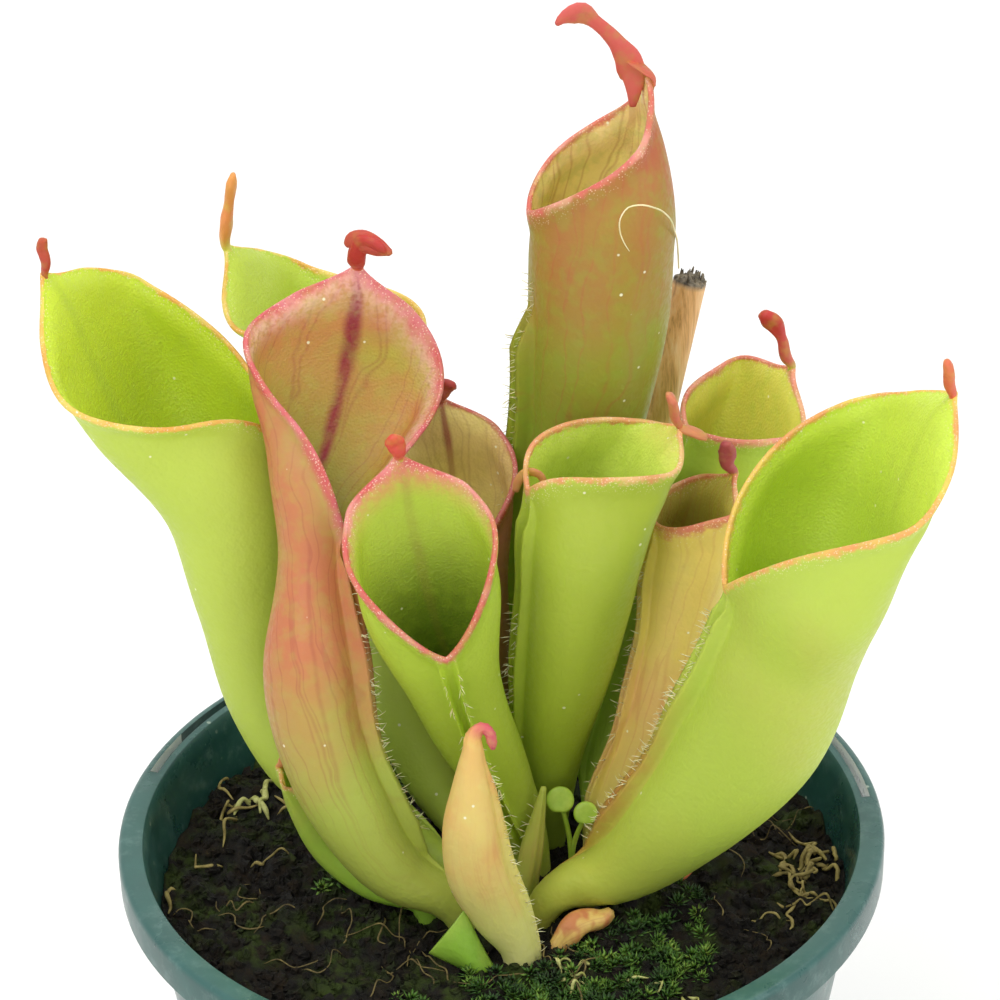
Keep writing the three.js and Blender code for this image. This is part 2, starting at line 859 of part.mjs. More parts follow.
// A hanger slot: a narrow arc through the flat of the rim.
function arcSlot(startDegrees) {
  const shape = new THREE.Shape();
  const inner = POT_MOUTH_RADIUS + POT_WALL + 0.15;
  const outer = POT_RIM_RADIUS - SKIRT_WALL - 0.15;
  const from = radians(startDegrees);
  const to = radians(startDegrees + SLOT_ARC);
  shape.absarc(0, 0, outer, from, to, false);
  shape.absarc(0, 0, inner, to, from, true);
  const slot = new THREE.ExtrudeGeometry(shape, { depth: 6, bevelEnabled: false, curveSegments: 12 });
  slot.translate(0, 0, POT_HEIGHT - 3.5);
  return solidFrom(slot);
}

function soilHeight(x, y) {
  const edge = clamp((Math.hypot(x, y) - 20) / 26, 0, 1);
  const calm = clamp((Math.hypot((x - CROWN_X) / 21, (y - CROWN_Y) / 27) - 0.9) / 0.3, 0, 1);
  return SOIL_HEIGHT + calm * (lumps(x, y, 4.6) * 0.9 + lumps(x + 9, y - 4, 2.3) * 0.4) - edge * 0.6;
}

function soilBody() {
  const shell = new Shell();
  const radii = [10, 18, 25, 30.5, 36, 41, 45.5];
  const ringAt = (place) => {
    const points = [];
    for (let i = 0; i < SOIL_SEGMENTS; i++) points.push(place((2 * Math.PI * i) / SOIL_SEGMENTS));
    return shell.ring(points);
  };
  const bottom = POT_FLOOR + FIT_GAP;
  const foot = mouthRadiusAt(bottom) - FIT_GAP;
  const low = ringAt((angle) => V(foot * Math.cos(angle), foot * Math.sin(angle), bottom));
  const edge = ringAt((angle) => {
    const z = soilHeight(49.3 * Math.cos(angle), 49.3 * Math.sin(angle));
    const radius = mouthRadiusAt(z) - FIT_GAP;
    return V(radius * Math.cos(angle), radius * Math.sin(angle), z);
  });
  shell.fan(low, V(0, 0, bottom), false);
  shell.band(low, edge);
  let previous = edge;
  for (const radius of [...radii].reverse()) {
    const ring = ringAt((angle) => {
      const x = radius * Math.cos(angle);
      const y = radius * Math.sin(angle);
      return V(x, y, soilHeight(x, y));
    });
    shell.band(previous, ring);
    previous = ring;
  }
  shell.fan(previous, V(0, 0, soilHeight(0, 0)), true);
  return solidFrom(shell.geometry());
}

// Where everything that grows from the root stock stands, and how wide its foot is.
const FEET = [
  ...PITCHERS.map((leaf) => [leaf.spine[0][0], leaf.spine[0][1], 2.75]),
  ...SMALL.map((leaf) => [leaf.rows[0][0], leaf.rows[0][1], leaf.rows[0][3] + 0.3]),
  [10, 1.5, 0.6],
];

function crownRing(shell, scale, height, grow) {
  const points = [];
  for (let i = 0; i < 26; i++) {
    const angle = (2 * Math.PI * i) / 26;
    const wave = 1 + 0.04 * Math.sin(3 * angle + 1) + 0.03 * Math.sin(7 * angle);
    const x = (CROWN_HALF_WIDTH * wave * scale + grow) * Math.cos(angle);
    const y = (CROWN_HALF_DEPTH * wave * scale + grow) * Math.sin(angle);
    points.push(V(CROWN_X + x, CROWN_Y + y, height(CROWN_X + x, CROWN_Y + y)));
  }
  return shell.ring(points);
}

const ROOTS = [
  [
    [-6, -8, 71],
    [-10, -12, 60],
    [-16, -14, 44],
    [-18, -18, 30],
  ],
  [
    [12, -12, 71],
    [17, -14, 58],
    [19, -20, 42],
    [24, -20, 30],
  ],
  [
    [4, 12, 71],
    [3, 17, 58],
    [-2, 22, 44],
    [-4, 21, 30],
  ],
  [
    [14, 6, 71],
    [20, 8, 60],
    [23, 10, 46],
    [21, 14, 34],
  ],
  [
    [2, -4, 71],
    [1, -3, 56],
    [3, 0, 40],
    [2, 2, 24],
  ],
];

// The root stock that the leaves grow from, with a few main roots; grow widens it to cut its bed in the soil.
function rootStock(grow) {
  const shell = new Shell();
  const top = (x, y) => CROWN_TOP + grow + 0.25 * lumps(x, y, 3);
  const edge = (x, y) => CROWN_TOP + grow - 1 + 0.2 * lumps(x, y, 3);
  const rings = [
    crownRing(shell, 0.8, () => CROWN_BOTTOM - grow, grow),
    crownRing(shell, 1, () => CROWN_BOTTOM + 3 - grow, grow),
    crownRing(shell, 1, edge, grow),
    crownRing(shell, 0.93, top, grow),
    crownRing(shell, 0.6, top, 0),
  ];
  shell.fan(rings[0], V(CROWN_X, CROWN_Y, CROWN_BOTTOM - grow), false);
  for (let k = 1; k < rings.length; k++) shell.band(rings[k - 1], rings[k]);
  shell.fan(rings[4], V(CROWN_X, CROWN_Y, top(CROWN_X, CROWN_Y)), true);
  let solid = solidFrom(shell.geometry());
  for (const rows of ROOTS) {
    const sizes = rows.map((row, k) => [...row, 1.5 - 0.3 * k + grow * 1.4]);
    solid = solid.add(rod(sizes, 5, 5));
  }
  return solid;
}

function footHole([x, y, radius]) {
  const hole = new THREE.CylinderGeometry(radius + FIT_GAP, radius + FIT_GAP, 12, 9);
  hole.rotateX(Math.PI / 2);
  hole.translate(x, y, LEAF_FOOT - FIT_GAP + 6);
  return solidFrom(hole);
}

// The bamboo stake, thicker at its joints, leaning up behind the tall leaf.
const STAKE_TOP = [29.1, 40, 156.4];
const STAKE_FOOT = [3.4, 24.9, 45];
const STAKE_JOINTS = [0.33, 0.72];

function stake(grow) {
  const rows = [];
  for (let k = 0; k <= 20; k++) {
    const t = k / 20;
    const joint = STAKE_JOINTS.reduce((sum, at) => sum + Math.exp(-(((t - at) / 0.02) ** 2)), 0);
    const point = STAKE_FOOT.map((low, i) => low + (STAKE_TOP[i] - low) * t);
    rows.push([...point, STAKE_RADIUS + (grow > 0 ? grow : 0.25 * joint)]);
  }
  if (grow > 0) rows[0][2] -= grow;
  return rod(rows, 10, 18);
}

const plant = new THREE.Group();

function place(name, solid, look) {
  const material = new THREE.MeshStandardMaterial({ metalness: 0, ...LOOKS[look] });
  const mesh = new THREE.Mesh(geometryFrom(solid), material);
  mesh.name = name;
  plant.add(mesh);
}

place('pot', pot(), 'pot');

let soil = soilBody().subtract(rootStock(FIT_GAP)).subtract(stake(FIT_GAP));
for (const foot of FEET) soil = soil.subtract(footHole(foot));
place('soil', soil, 'soil');

let crown = rootStock(0);
for (const foot of FEET) crown = crown.subtract(footHole(foot));
place('root_stock', crown, 'crown');

place('bamboo_stake', stake(0), 'stake');
for (const leaf of PITCHERS) place(leaf.name, pitcher(leaf), leaf.look);
for (const leaf of SMALL) place(leaf.name, rod(leaf.rows, leaf.sides, leaf.steps), leaf.look);
place('seedling', seedling(), 'greenLeaf');

export default plant;
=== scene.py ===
# A sun pitcher plant in a nursery pot: fine leaves, hairs, peat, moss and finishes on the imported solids.
# Lengths in the tables and shape functions are millimetres; meshes are made in metres.
import math

import bpy
import numpy as np
from mathutils import Matrix, Vector, noise


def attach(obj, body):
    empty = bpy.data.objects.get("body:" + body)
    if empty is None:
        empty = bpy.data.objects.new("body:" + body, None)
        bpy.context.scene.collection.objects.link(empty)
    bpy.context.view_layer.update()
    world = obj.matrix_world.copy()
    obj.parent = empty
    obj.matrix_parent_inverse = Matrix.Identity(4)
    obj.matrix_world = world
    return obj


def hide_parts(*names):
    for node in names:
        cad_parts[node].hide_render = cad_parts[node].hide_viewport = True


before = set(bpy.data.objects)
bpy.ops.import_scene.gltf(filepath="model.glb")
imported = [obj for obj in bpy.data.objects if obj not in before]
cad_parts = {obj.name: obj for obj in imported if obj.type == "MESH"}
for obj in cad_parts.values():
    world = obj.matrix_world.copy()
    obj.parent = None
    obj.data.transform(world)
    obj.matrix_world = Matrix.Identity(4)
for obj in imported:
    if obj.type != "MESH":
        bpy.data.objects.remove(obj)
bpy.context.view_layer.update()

# Driving sizes, the same as the solids'
POT_HEIGHT = 90
POT_RIM_RADIUS = 55
POT_MOUTH_RADIUS = 51.2
POT_FLOOR_RADIUS = 36
POT_WALL = 1.1
POT_FLOOR = 2.2
RIM_THICKNESS = 1.3
SKIRT_DROP = 5.6
SKIRT_WALL = 1.2
DRAIN_RADIUS = 2.3
SLOT_ARC = 45
SLOT_STARTS = (118, 5)
LIT_ARCS = ((151, 162.5), (6, 30))
LIT_DEPTH = 2
DRAIN_RING, DRAINS = 27, 6
SOIL_HEIGHT = 80.2
FIT_GAP = 0.32
STAKE_RADIUS = 2.4
STAKE_TOP = (29.1, 40, 156.4)
STAKE_FOOT = (3.4, 24.9, 45)
STAKE_JOINTS = (0.33, 0.72)

# The pitchers, leaves rolled into tubes. In each, t is the share of the spine's length:
#   spine: points up the middle of the tube; turn: (t, degrees) that the back faces;
#   form: (t, half width, depth to the back, depth to the front);
#   spoon: the hood, as (x, y, z, half width, half thickness) beyond the end of the spine;
#   notch: the t of the mouth's front; arch: the two powers of the mouth's curve; lip: the rim's flare;
#   wing: height of the wings; wing_top: their end, if not the notch; rib_lean: the midrib's drift;
#   hairs: the t where the hairs on the wings start and end
PITCHERS = {
    "pitcher_front_left": dict(
        spine=[(-5.5, -11.6, 76), (-5.8, -11.7, 82), (-8.2, -11.9, 85.4), (-14.5, -12, 89.5),
               (-21.8, -10.5, 102), (-25.4, -6.5, 116.2), (-25, -1.5, 129.5), (-23.8, 4.5, 140.5),
               (-21.7, 12, 150.5), (-19, 18, 161.4), (-17.5, 22, 169.6)],
        turn=[(0, 200), (0.45, 170), (0.65, 125), (1, 95)],
        form=[(0, 2.5, 2.3, 2.3), (0.06, 2.7, 2.4, 2.5), (0.18, 4.5, 4, 5), (0.32, 6, 6, 6),
              (0.47, 7, 7, 6), (0.61, 5.4, 5.5, 5), (0.73, 9, 6.5, 6), (0.86, 14, 6, 7),
              (0.95, 10, 3, 5), (1, 1, 0.8, 1)],
        spoon=[(-0.6, -0.4, 0.8, 1.3, 0.7), (-0.2, -1.3, 2.9, 1.3, 0.9), (1, -2.1, 4.2, 1.9, 1),
               (2.6, -2.8, 3.9, 1.7, 0.9), (3.6, -3.1, 3.2, 0.6, 0.4)],
        notch=0.65, arch=(1.6, 1.1), lip=1.3, wing=2.2, rib_lean=-1.1, hairs=(0.2, 0.6),
    ),
    "pitcher_front_middle": dict(
        spine=[(4.5, 1.5, 76), (4.4, 1.5, 82.2), (0, 0.5, 97.2), (-4.7, -3, 111.6), (-7.7, -6, 125.3),
               (-9.5, -7, 137.3), (-11.1, -4.5, 145.5), (-12.4, -1.5, 152.4)],
        turn=[(0, 80), (0.5, 95), (1, 105)],
        form=[(0, 2.5, 2.2, 2.2), (0.07, 2.6, 2.3, 2.3), (0.2, 4, 3.5, 3.5), (0.38, 5.6, 5, 5),
              (0.53, 6.6, 5.5, 5), (0.76, 9.8, 6, 6), (0.92, 8.5, 3, 5), (1, 1, 0.8, 1)],
        spoon=[(-0.3, -0.1, 0.7, 1.1, 0.8), (-0.7, -0.6, 2.4, 1.4, 0.9), (-0.9, -1.2, 3.5, 0.7, 0.5)],
        notch=0.672, arch=(1.6, 1.2), lip=1.3, wing=1.8, hairs=(0.2, 0.64),
    ),
    "pitcher_middle_right": dict(
        spine=[(7, 9, 76), (7, 9.2, 82.2), (7.3, 9, 98.2), (9.2, 7.4, 112.8), (11.4, 6, 126.8),
               (14.6, 5.6, 136), (19, 6.4, 144), (25.2, 7.6, 151.5)],
        turn=[(0, 30), (0.5, 20), (1, 20)],
        form=[(0, 2.5, 2.2, 2.2), (0.06, 2.6, 2.3, 2.3), (0.18, 4, 4, 3.6), (0.42, 7.2, 7.2, 5.8),
              (0.61, 8.6, 8.6, 7.2), (0.75, 9.2, 6.6, 10.6), (0.88, 8, 3, 15), (0.95, 5, 1.5, 13),
              (1, 1, 0.8, 1)],
        spoon=[(0.2, -0.3, 0.8, 1.1, 0.7), (0.1, -0.8, 2.6, 1.2, 0.8), (-0.2, -1.2, 4.1, 1.2, 0.8),
               (-0.9, -1.6, 5.2, 0.4, 0.3)],
        notch=0.8, arch=(1.8, 1.1), lip=1.2, wing=1.6, hairs=(0.2, 0.6),
    ),
    "pitcher_right": dict(
        spine=[(5.5, -10, 76), (5.8, -10, 82.6), (8.4, -10, 85.4), (14, -10, 87.4), (26.5, -13, 100.6),
               (35.4, -15, 115), (40.7, -18, 131.5), (46.3, -19.8, 148.9), (53.5, -20, 161.6),
               (59.6, -20, 170.9)],
        turn=[(0, -20), (0.5, -5), (1, 10)],
        form=[(0, 2.5, 2.3, 2.3), (0.06, 2.8, 2.6, 2.5), (0.17, 5, 5, 5), (0.32, 7, 8, 8),
              (0.46, 9, 10, 10), (0.61, 11, 9, 10), (0.75, 16, 8, 14), (0.87, 15.2, 4, 16.5),
              (0.94, 10.6, 2, 14), (0.98, 5.5, 1.2, 8), (1, 1, 0.8, 1)],
        spoon=[(0.3, -0.2, 0.9, 1.1, 0.8), (0.2, -0.9, 3.3, 1.3, 0.9), (-0.3, -1.6, 4.9, 0.6, 0.5)],
        notch=0.67, arch=(1.8, 1.25), lip=1.2, wing=2.6, hairs=(0.16, 0.62),
    ),
    "pitcher_left": dict(
        spine=[(-6, -4.5, 76), (-6.2, -4.4, 82.4), (-11.4, -2, 87.2), (-20.3, 3, 90.8),
               (-28.7, 6, 97.5), (-33.5, 9, 106.4), (-36.3, 12.5, 121.2), (-39.6, 15.8, 136.4),
               (-46.6, 18.2, 148.6), (-54.2, 18, 164), (-60.2, 18.3, 172)],
        turn=[(0, 190), (0.5, 175), (1, 160)],
        form=[(0, 2.5, 2.3, 2.3), (0.06, 2.6, 2.4, 2.4), (0.18, 4, 4, 4), (0.42, 5.5, 5.5, 6),
              (0.61, 8.5, 7, 10.5), (0.72, 11.2, 7, 13.4), (0.8, 13.3, 6.5, 15.2),
              (0.88, 13.9, 5.5, 16.5), (0.95, 10.4, 3, 13), (1, 1, 0.8, 1)],
        spoon=[(-0.5, -0.2, 1.1, 0.7, 0.6), (-0.8, -0.7, 3.7, 0.8, 0.6), (-0.5, -1.2, 5.1, 0.6, 0.4)],
        notch=0.68, arch=(1.6, 1.3), lip=1.2, wing=2.2, hairs=(0.25, 0.6),
    ),
    "pitcher_back_left": dict(
        spine=[(-4.5, 5.5, 76), (-4.7, 5.8, 82.2), (-9.7, 9.5, 91), (-14.6, 15.2, 102),
               (-16, 20, 112.5), (-17.7, 25, 126.5), (-20.8, 30, 140.2), (-28.1, 36.5, 154.6),
               (-36.2, 39, 165.3)],
        turn=[(0, 190), (0.5, 165), (1, 160)],
        form=[(0, 2.5, 2.3, 2.3), (0.06, 2.6, 2.4, 2.4), (0.18, 4, 4, 4), (0.42, 5.5, 5.5, 5.5),
              (0.61, 7, 7, 7), (0.75, 10, 6, 14), (0.88, 10.5, 3, 22.5), (0.95, 8, 2, 19),
              (1, 1, 0.8, 1)],
        spoon=[(-0.8, 0, 2.4, 1.6, 0.9), (-0.3, -0.4, 6, 0.9, 0.8), (0.2, -0.8, 9, 1.3, 0.9),
               (0.6, -1.2, 10.8, 0.6, 0.4)],
        notch=0.76, arch=(1.6, 1.6), lip=1.2, wing=2,
    ),
    "pitcher_tall_back": dict(
        spine=[(4, 17.5, 76), (4.1, 17.6, 82.2), (5.6, 19.6, 92), (7.6, 23.2, 106.4), (9.7, 25, 122.3),
               (12.4, 26, 138.3), (14.5, 26, 154.6), (16.5, 27, 168.3), (19.5, 28, 181.9),
               (20.8, 29, 194.1)],
        turn=[(0, 40), (0.5, 20), (1, 10)],
        form=[(0, 2.5, 2.3, 2.3), (0.05, 2.6, 2.4, 2.4), (0.17, 4, 4, 4), (0.32, 6, 6, 6),
              (0.51, 8, 8.5, 7.5), (0.7, 10, 10.5, 9.5), (0.82, 10.5, 9, 11), (0.92, 7, 5, 9.5),
              (1, 1, 0.8, 1)],
        spoon=[(-0.2, -0.3, 0.7, 2, 0.5), (-1, -0.9, 3.3, 1.8, 0.6), (-2.6, -1.6, 6, 1.2, 0.7),
               (-5.2, -2.6, 9.2, 1, 0.7), (-7.8, -3.6, 11.1, 1.9, 0.9), (-9.6, -4.2, 10.7, 1.2, 0.6),
               (-10.6, -4.5, 9.9, 0.4, 0.3)],
        notch=0.82, arch=(1.9, 1.4), lip=1.3, wing=3, wing_top=0.71, hairs=(0.3, 0.75),
    ),
    "pitcher_middle_back": dict(
        spine=[(-1.6, 11, 76), (-1.6, 11.1, 82.2), (-1.2, 12.2, 89.4), (-2.2, 14, 102.1),
               (-3.6, 15.5, 114.9), (-4.8, 17, 127.5), (-5.6, 19.5, 138.8), (-7, 22.5, 147.6)],
        turn=[(0, 90), (0.5, 90), (1, 100)],
        form=[(0, 2.5, 2.2, 2.2), (0.07, 2.6, 2.3, 2.3), (0.2, 3.5, 3.5, 3.5), (0.42, 5, 5, 5),
              (0.61, 6, 5.5, 5.5), (0.8, 8, 6, 6), (0.92, 7, 3, 5), (1, 1, 0.8, 1)],
        spoon=[(0.2, -0.2, 0.8, 1, 0.8), (1, -0.6, 2.4, 1.4, 0.9), (2, -1, 2.6, 0.8, 0.5)],
        notch=0.68, arch=(1.6, 1.1), lip=1.2, wing=1.4,
    ),
    "pitcher_right_inner": dict(
        spine=[(14, 2.5, 76), (14.1, 2.6, 82.2), (17, 4, 91), (22.3, 6.2, 103.3), (25.4, 8.5, 115.2),
               (27.8, 10.5, 125.6), (29.9, 11, 135.1), (32.6, 12, 141.1)],
        turn=[(0, 20), (1, 20)],
        form=[(0, 2.5, 2.2, 2.2), (0.07, 2.6, 2.3, 2.3), (0.2, 3.5, 3.5, 3.5), (0.42, 5, 5, 4.5),
              (0.61, 5.5, 5.5, 5), (0.8, 6.5, 4.5, 6.5), (0.92, 5.5, 2.5, 6.5), (1, 1, 0.8, 1)],
        spoon=[(0.3, -0.3, 1, 1, 0.7), (0.3, -0.9, 3.2, 1.3, 0.9), (0.1, -1.4, 4.9, 0.8, 0.6)],
        notch=0.87, arch=(1.5, 1.6), lip=1.2, wing=1.4, hairs=(0.2, 0.8),
    ),
    "pitcher_right_back": dict(
        spine=[(14, 10, 76), (14.2, 10.2, 82.2), (16, 14, 92), (20.5, 18.1, 102.4), (25.4, 21.3, 114),
               (30.4, 23.8, 125.9), (36.8, 25.6, 139.5), (41.7, 26, 149.9)],
        turn=[(0, 20), (0.5, 20), (1, 25)],
        form=[(0, 2.5, 2.2, 2.2), (0.07, 2.6, 2.3, 2.3), (0.2, 3.5, 3.5, 3.5), (0.42, 5, 5, 5),
              (0.61, 6, 6, 6), (0.8, 8.5, 4, 9), (0.92, 9, 2, 10), (1, 1, 0.8, 1)],
        spoon=[(0.3, -0.3, 1.3, 0.9, 0.6), (-0.4, -0.9, 4.7, 0.8, 0.6), (-1.9, -1.5, 7.7, 1.6, 1.1),
               (-3.1, -1.9, 9.2, 0.9, 0.7)],
        notch=0.84, arch=(1.5, 1.3), lip=1.2, wing=1.4,
    ),
    "small_pitcher_left": dict(
        spine=[(-11, -8.2, 76), (-11.2, -8.1, 82), (-19, -6, 84.6), (-24.6, -5, 89.7),
               (-28.2, -5, 97.4), (-29.6, -5, 101.5), (-30.5, -5, 104.6)],
        turn=[(0, 190), (1, 175)],
        form=[(0, 1.8, 1.8, 1.8), (0.15, 2.1, 2, 2), (0.5, 2.6, 2.4, 2.6), (0.8, 2.5, 2, 2.4),
              (0.92, 2.1, 1.3, 2), (1, 0.7, 0.5, 0.7)],
        spoon=[(-0.1, -0.1, 0.4, 0.6, 0.5), (-0.1, -0.3, 1, 0.5, 0.4), (0, -0.4, 1.5, 0.3, 0.3)],
        notch=0.83, arch=(1.6, 1.2), lip=0.5, wing=0.4,
    ),
}

# Small lobes beside the mouths: (x, y, z, half width, half thickness)
LOBES = {
    "pitcher_front_left": [
        [(-19.4, 20.9, 173.2, 0.4, 0.5), (-18.4, 20.6, 174, 0.7, 1.3), (-16.8, 20, 174.1, 0.8, 1.8),
         (-15, 19.4, 173.5, 0.7, 1.5), (-13.2, 18.9, 172.8, 0.4, 0.5)],
    ],
    "pitcher_tall_back": [
        [(19.8, 28.6, 196.8, 0.9, 0.3), (20.9, 28.4, 196.3, 1.5, 0.35), (22.3, 28.2, 195.2, 1.3, 0.35),
         (23.5, 28.1, 193.9, 0.7, 0.3), (23.6, 28.2, 192.8, 0.3, 0.2)],
        [(20.6, 28.9, 189.5, 0.5, 0.35), (20.8, 28.6, 192, 1.1, 0.45), (20.6, 28.6, 194.6, 1.6, 0.5),
         (19.9, 28.3, 196.6, 1.5, 0.5), (18.6, 27.6, 199, 1.1, 0.5)],
    ],
    "pitcher_middle_right": [
        [(26, 7.8, 150.2, 0.7, 0.5), (27.4, 7.8, 149.8, 1.2, 0.6), (28.8, 7.7, 149.2, 1.3, 0.5),
         (29.8, 7.6, 148.7, 0.8, 0.3)],
        [(3.2, 4.8, 142.6, 0.5, 0.35), (3.7, 4.4, 144.6, 0.7, 0.4), (5, 4.1, 146, 0.75, 0.4),
         (6.5, 3.9, 145.6, 0.7, 0.35), (7.3, 3.8, 144, 0.45, 0.3)],
    ],
}

# Small leaves and shoots as rods: (x, y, z, half width, half thickness)
SMALL = {
    "young_pitcher":
        [(2.4, -19.4, 76, 2.2, 2.2), (2.1, -19.4, 82, 2.7, 2.5), (-0.6, -19.2, 88.5, 4.1, 3.4),
         (-3.1, -18.9, 95, 4.6, 4), (-3.9, -18.5, 101.5, 4.2, 3.7), (-3.8, -18, 108.5, 2.9, 2.6),
         (-3.6, -17.6, 114, 1.6, 1.5), (-3.2, -17.4, 117.2, 1, 0.9), (-2.2, -17.4, 118.2, 0.75, 0.7),
         (-1.3, -17.4, 117.4, 0.75, 0.65), (-0.9, -17.4, 115.8, 0.7, 0.6),
         (-0.8, -17.4, 114.6, 0.35, 0.3)],
    "small_shoot":
        [(3.2, -5.4, 76, 1.7, 1.4), (3.3, -5.3, 82, 1.8, 1.4), (4.2, -4.6, 88, 1.7, 1.3),
         (5.4, -3.6, 93.9, 1, 0.9), (6.2, -3, 98.2, 0.4, 0.4)],
    "faded_leaf":
        [(7.8, -17.4, 76, 1.3, 1.2), (7.8, -17.3, 81.2, 1.4, 1.2), (9.6, -16.4, 83, 1.9, 1.5),
         (12.2, -15.2, 83.5, 1.7, 1.3), (14.2, -14.4, 83.4, 1.3, 1.1), (15.4, -13.9, 84, 0.8, 0.7)],
}


# Shape helpers

def unit(vectors):
    return vectors / np.linalg.norm(vectors, axis=-1, keepdims=True)


def turns(count):
    """Angles spread evenly round a circle."""
    return np.arange(count) * 2 * math.pi / count


def cubic(knots, values, slopes):
    """A curve with the given values and slopes at the knots."""
    def at(x):
        x = np.clip(np.asarray(x, float), knots[0], knots[-1])
        i = np.clip(np.searchsorted(knots, x, side="right") - 1, 0, len(knots) - 2)
        step = (knots[i + 1] - knots[i])[..., None]
        u = (x - knots[i])[..., None] / step
        start = (2 * u**3 - 3 * u**2 + 1) * values[i] + (u**3 - 2 * u**2 + u) * step * slopes[i]
        return start + (-2 * u**3 + 3 * u**2) * values[i + 1] + (u**3 - u**2) * step * slopes[i + 1]

    return at


def path_through(rows):
    """A soft curve through points; the parameter runs 0 to 1 by chord length."""
    points = np.array([row[:3] for row in rows], float)
    lengths = np.linalg.norm(np.diff(points, axis=0), axis=1)
    knots = np.concatenate([[0], np.cumsum(lengths)]) / lengths.sum()
    gaps = np.diff(knots)[:, None]
    chords = np.diff(points, axis=0) / gaps
    inner = (chords[:-1] * gaps[1:] + chords[1:] * gaps[:-1]) / (gaps[:-1] + gaps[1:])
    slopes = np.concatenate([chords[:1], inner, chords[-1:]])
    return cubic(knots, points, slopes), lengths.sum(), knots


def smooth_table(rows):
    """Rows of (t, value, value ...) joined smoothly, without overshoot."""
    table = np.array(rows, float)
    t, values = table[:, 0], table[:, 1:]
    chords = np.diff(values, axis=0) / np.diff(t)[:, None]
    before, after = chords[:-1], chords[1:]
    inner = np.where(before * after > 0, 2 * before * after / (before + after + 1e-12), 0)
    return cubic(t, values, np.concatenate([chords[:1], inner, chords[-1:]]))


class Skin:
    """Collects rings of points, the faces between them and a few marks for the finishes."""

    def __init__(self, *marks):
        self.points, self.faces = [], []
        self.marks = {mark: [] for mark in marks}
        self.count = 0

    def ring(self, points, **marks):
        points = np.atleast_2d(points)
        start = self.count
        self.points.append(points)
        self.count += len(points)
        for mark, kept in self.marks.items():
            kept.append(np.broadcast_to(np.asarray(marks.get(mark, 0), float), (len(points),)))
        return np.arange(start, self.count)

    def band(self, lower, upper):
        for i in range(len(lower)):
            j = (i + 1) % len(lower)
            self.faces.append((lower[i], lower[j], upper[j], upper[i]))

    def tube(self, rings):
        for lower, upper in zip(rings, rings[1:]):
            self.band(lower, upper)

    def cap(self, ring, centre, outward, **marks):
        middle = self.ring(centre, **marks)[0]
        for i in range(len(ring)):
            j = (i + 1) % len(ring)
            self.faces.append((ring[i], ring[j], middle) if outward else (ring[j], ring[i], middle))

    def piece(self, name, finish):
        points = np.concatenate(self.points) * 0.001
        mesh = bpy.data.meshes.new(name)
        mesh.from_pydata(points.tolist(), [], [tuple(int(i) for i in face) for face in self.faces])
        for mark, kept in self.marks.items():
            data = mesh.attributes.new(mark, "FLOAT", "POINT").data
            data.foreach_set("value", np.concatenate(kept).astype(np.float32))
        mesh.polygons.foreach_set("use_smooth", [True] * len(mesh.polygons))
        mesh.update()
        return show(name, mesh, finish)


def ribbon(first, last):
    """Faces between the pairs of points that are numbered from first up to last."""
    return [(n, n + 1, n + 3, n + 2) for n in range(first, last - 2, 2)]


def bed_mesh(points, faces, cover=None):
    """A mesh to scatter on, from points in millimetres; cover says how thick the scatter is at each."""
    mesh = bpy.data.meshes.new("bed")
    mesh.from_pydata((np.array(points) * 0.001).tolist(), [], faces)
    cover = np.ones(len(points)) if cover is None else cover
    mesh.attributes.new("cover", "FLOAT", "POINT").data.foreach_set("value", cover.astype(np.float32))
    return mesh


def plant(piece, node):
    """Puts a finished piece in the place of a solid."""
    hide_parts(node)
    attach(piece, "root")


def put(name, data):
    """A new object in the scene."""
    thing = bpy.data.objects.new(name, data)
    bpy.context.scene.collection.objects.link(thing)
    return thing


def show(name, mesh, finish):
    mesh.name = name
    if finish is not None:
        mesh.materials.clear()
        mesh.materials.append(finish)
    return put(name, mesh)


def add_rod(skin, rows, sides, steps, shape=None, **marks):
    """A closed rod along rows of (x, y, z, half width, half thickness); shape(t, angle) swells it."""
    at, _, knots = path_through(rows)
    size = smooth_table([(k, row[3], row[-1]) for k, row in zip(knots, rows)])
    angle = turns(sides)
    across = None
    rings = []
    for k in range(steps + 1):
        t = k / steps
        along = unit(at(t + 0.01) - at(t - 0.01))
        if across is None:
            across = np.array([1.0, 0, 0]) if abs(along[2]) > 0.8 else np.cross([0, 0, 1], along)
        across = unit(across - across.dot(along) * along)
        thick = np.cross(along, across)
        wide, deep = size(t)
        swell = np.ones(sides) if shape is None else shape(t, angle)
        points = at(t) + across * (wide * swell * np.cos(angle))[:, None]
        points = points + thick * (deep * swell * np.sin(angle))[:, None]
        here = {mark: (value(t, angle) if callable(value) else value) for mark, value in marks.items()}
        rings.append(skin.ring(points, **here))
        ends = {mark: np.mean(value) for mark, value in here.items()}
        if k == 0:
            skin.cap(rings[0], at(0) - along * 0.05 * deep, False, **ends)
        if k == steps:
            skin.cap(rings[-1], at(1) + along * 0.5 * deep, True, **ends)
    skin.tube(rings)


# Finishes

def paint(code):
    """An sRGB colour such as "9fbe3a" as linear RGBA."""
    parts = [int(code[i:i + 2], 16) / 255 for i in (0, 2, 4)]
    return (*[c / 12.92 if c <= 0.04045 else ((c + 0.055) / 1.055) ** 2.4 for c in parts], 1)


def add_node(tree, kind, settings=None, **inputs):
    """A node with its settings and its inputs, named or numbered i0, i1: links, colours or numbers."""
    node = tree.nodes.new(kind)
    for key, value in (settings or {}).items():
        setattr(node, key, value)
    for key, value in inputs.items():
        socket = node.inputs[int(key[1:]) if key[1:].isdigit() else key.replace("_", " ")]
        if isinstance(value, bpy.types.NodeSocket):
            tree.links.new(value, socket)
        else:
            socket.default_value = paint(value) if socket.type == "RGBA" else value
    return node


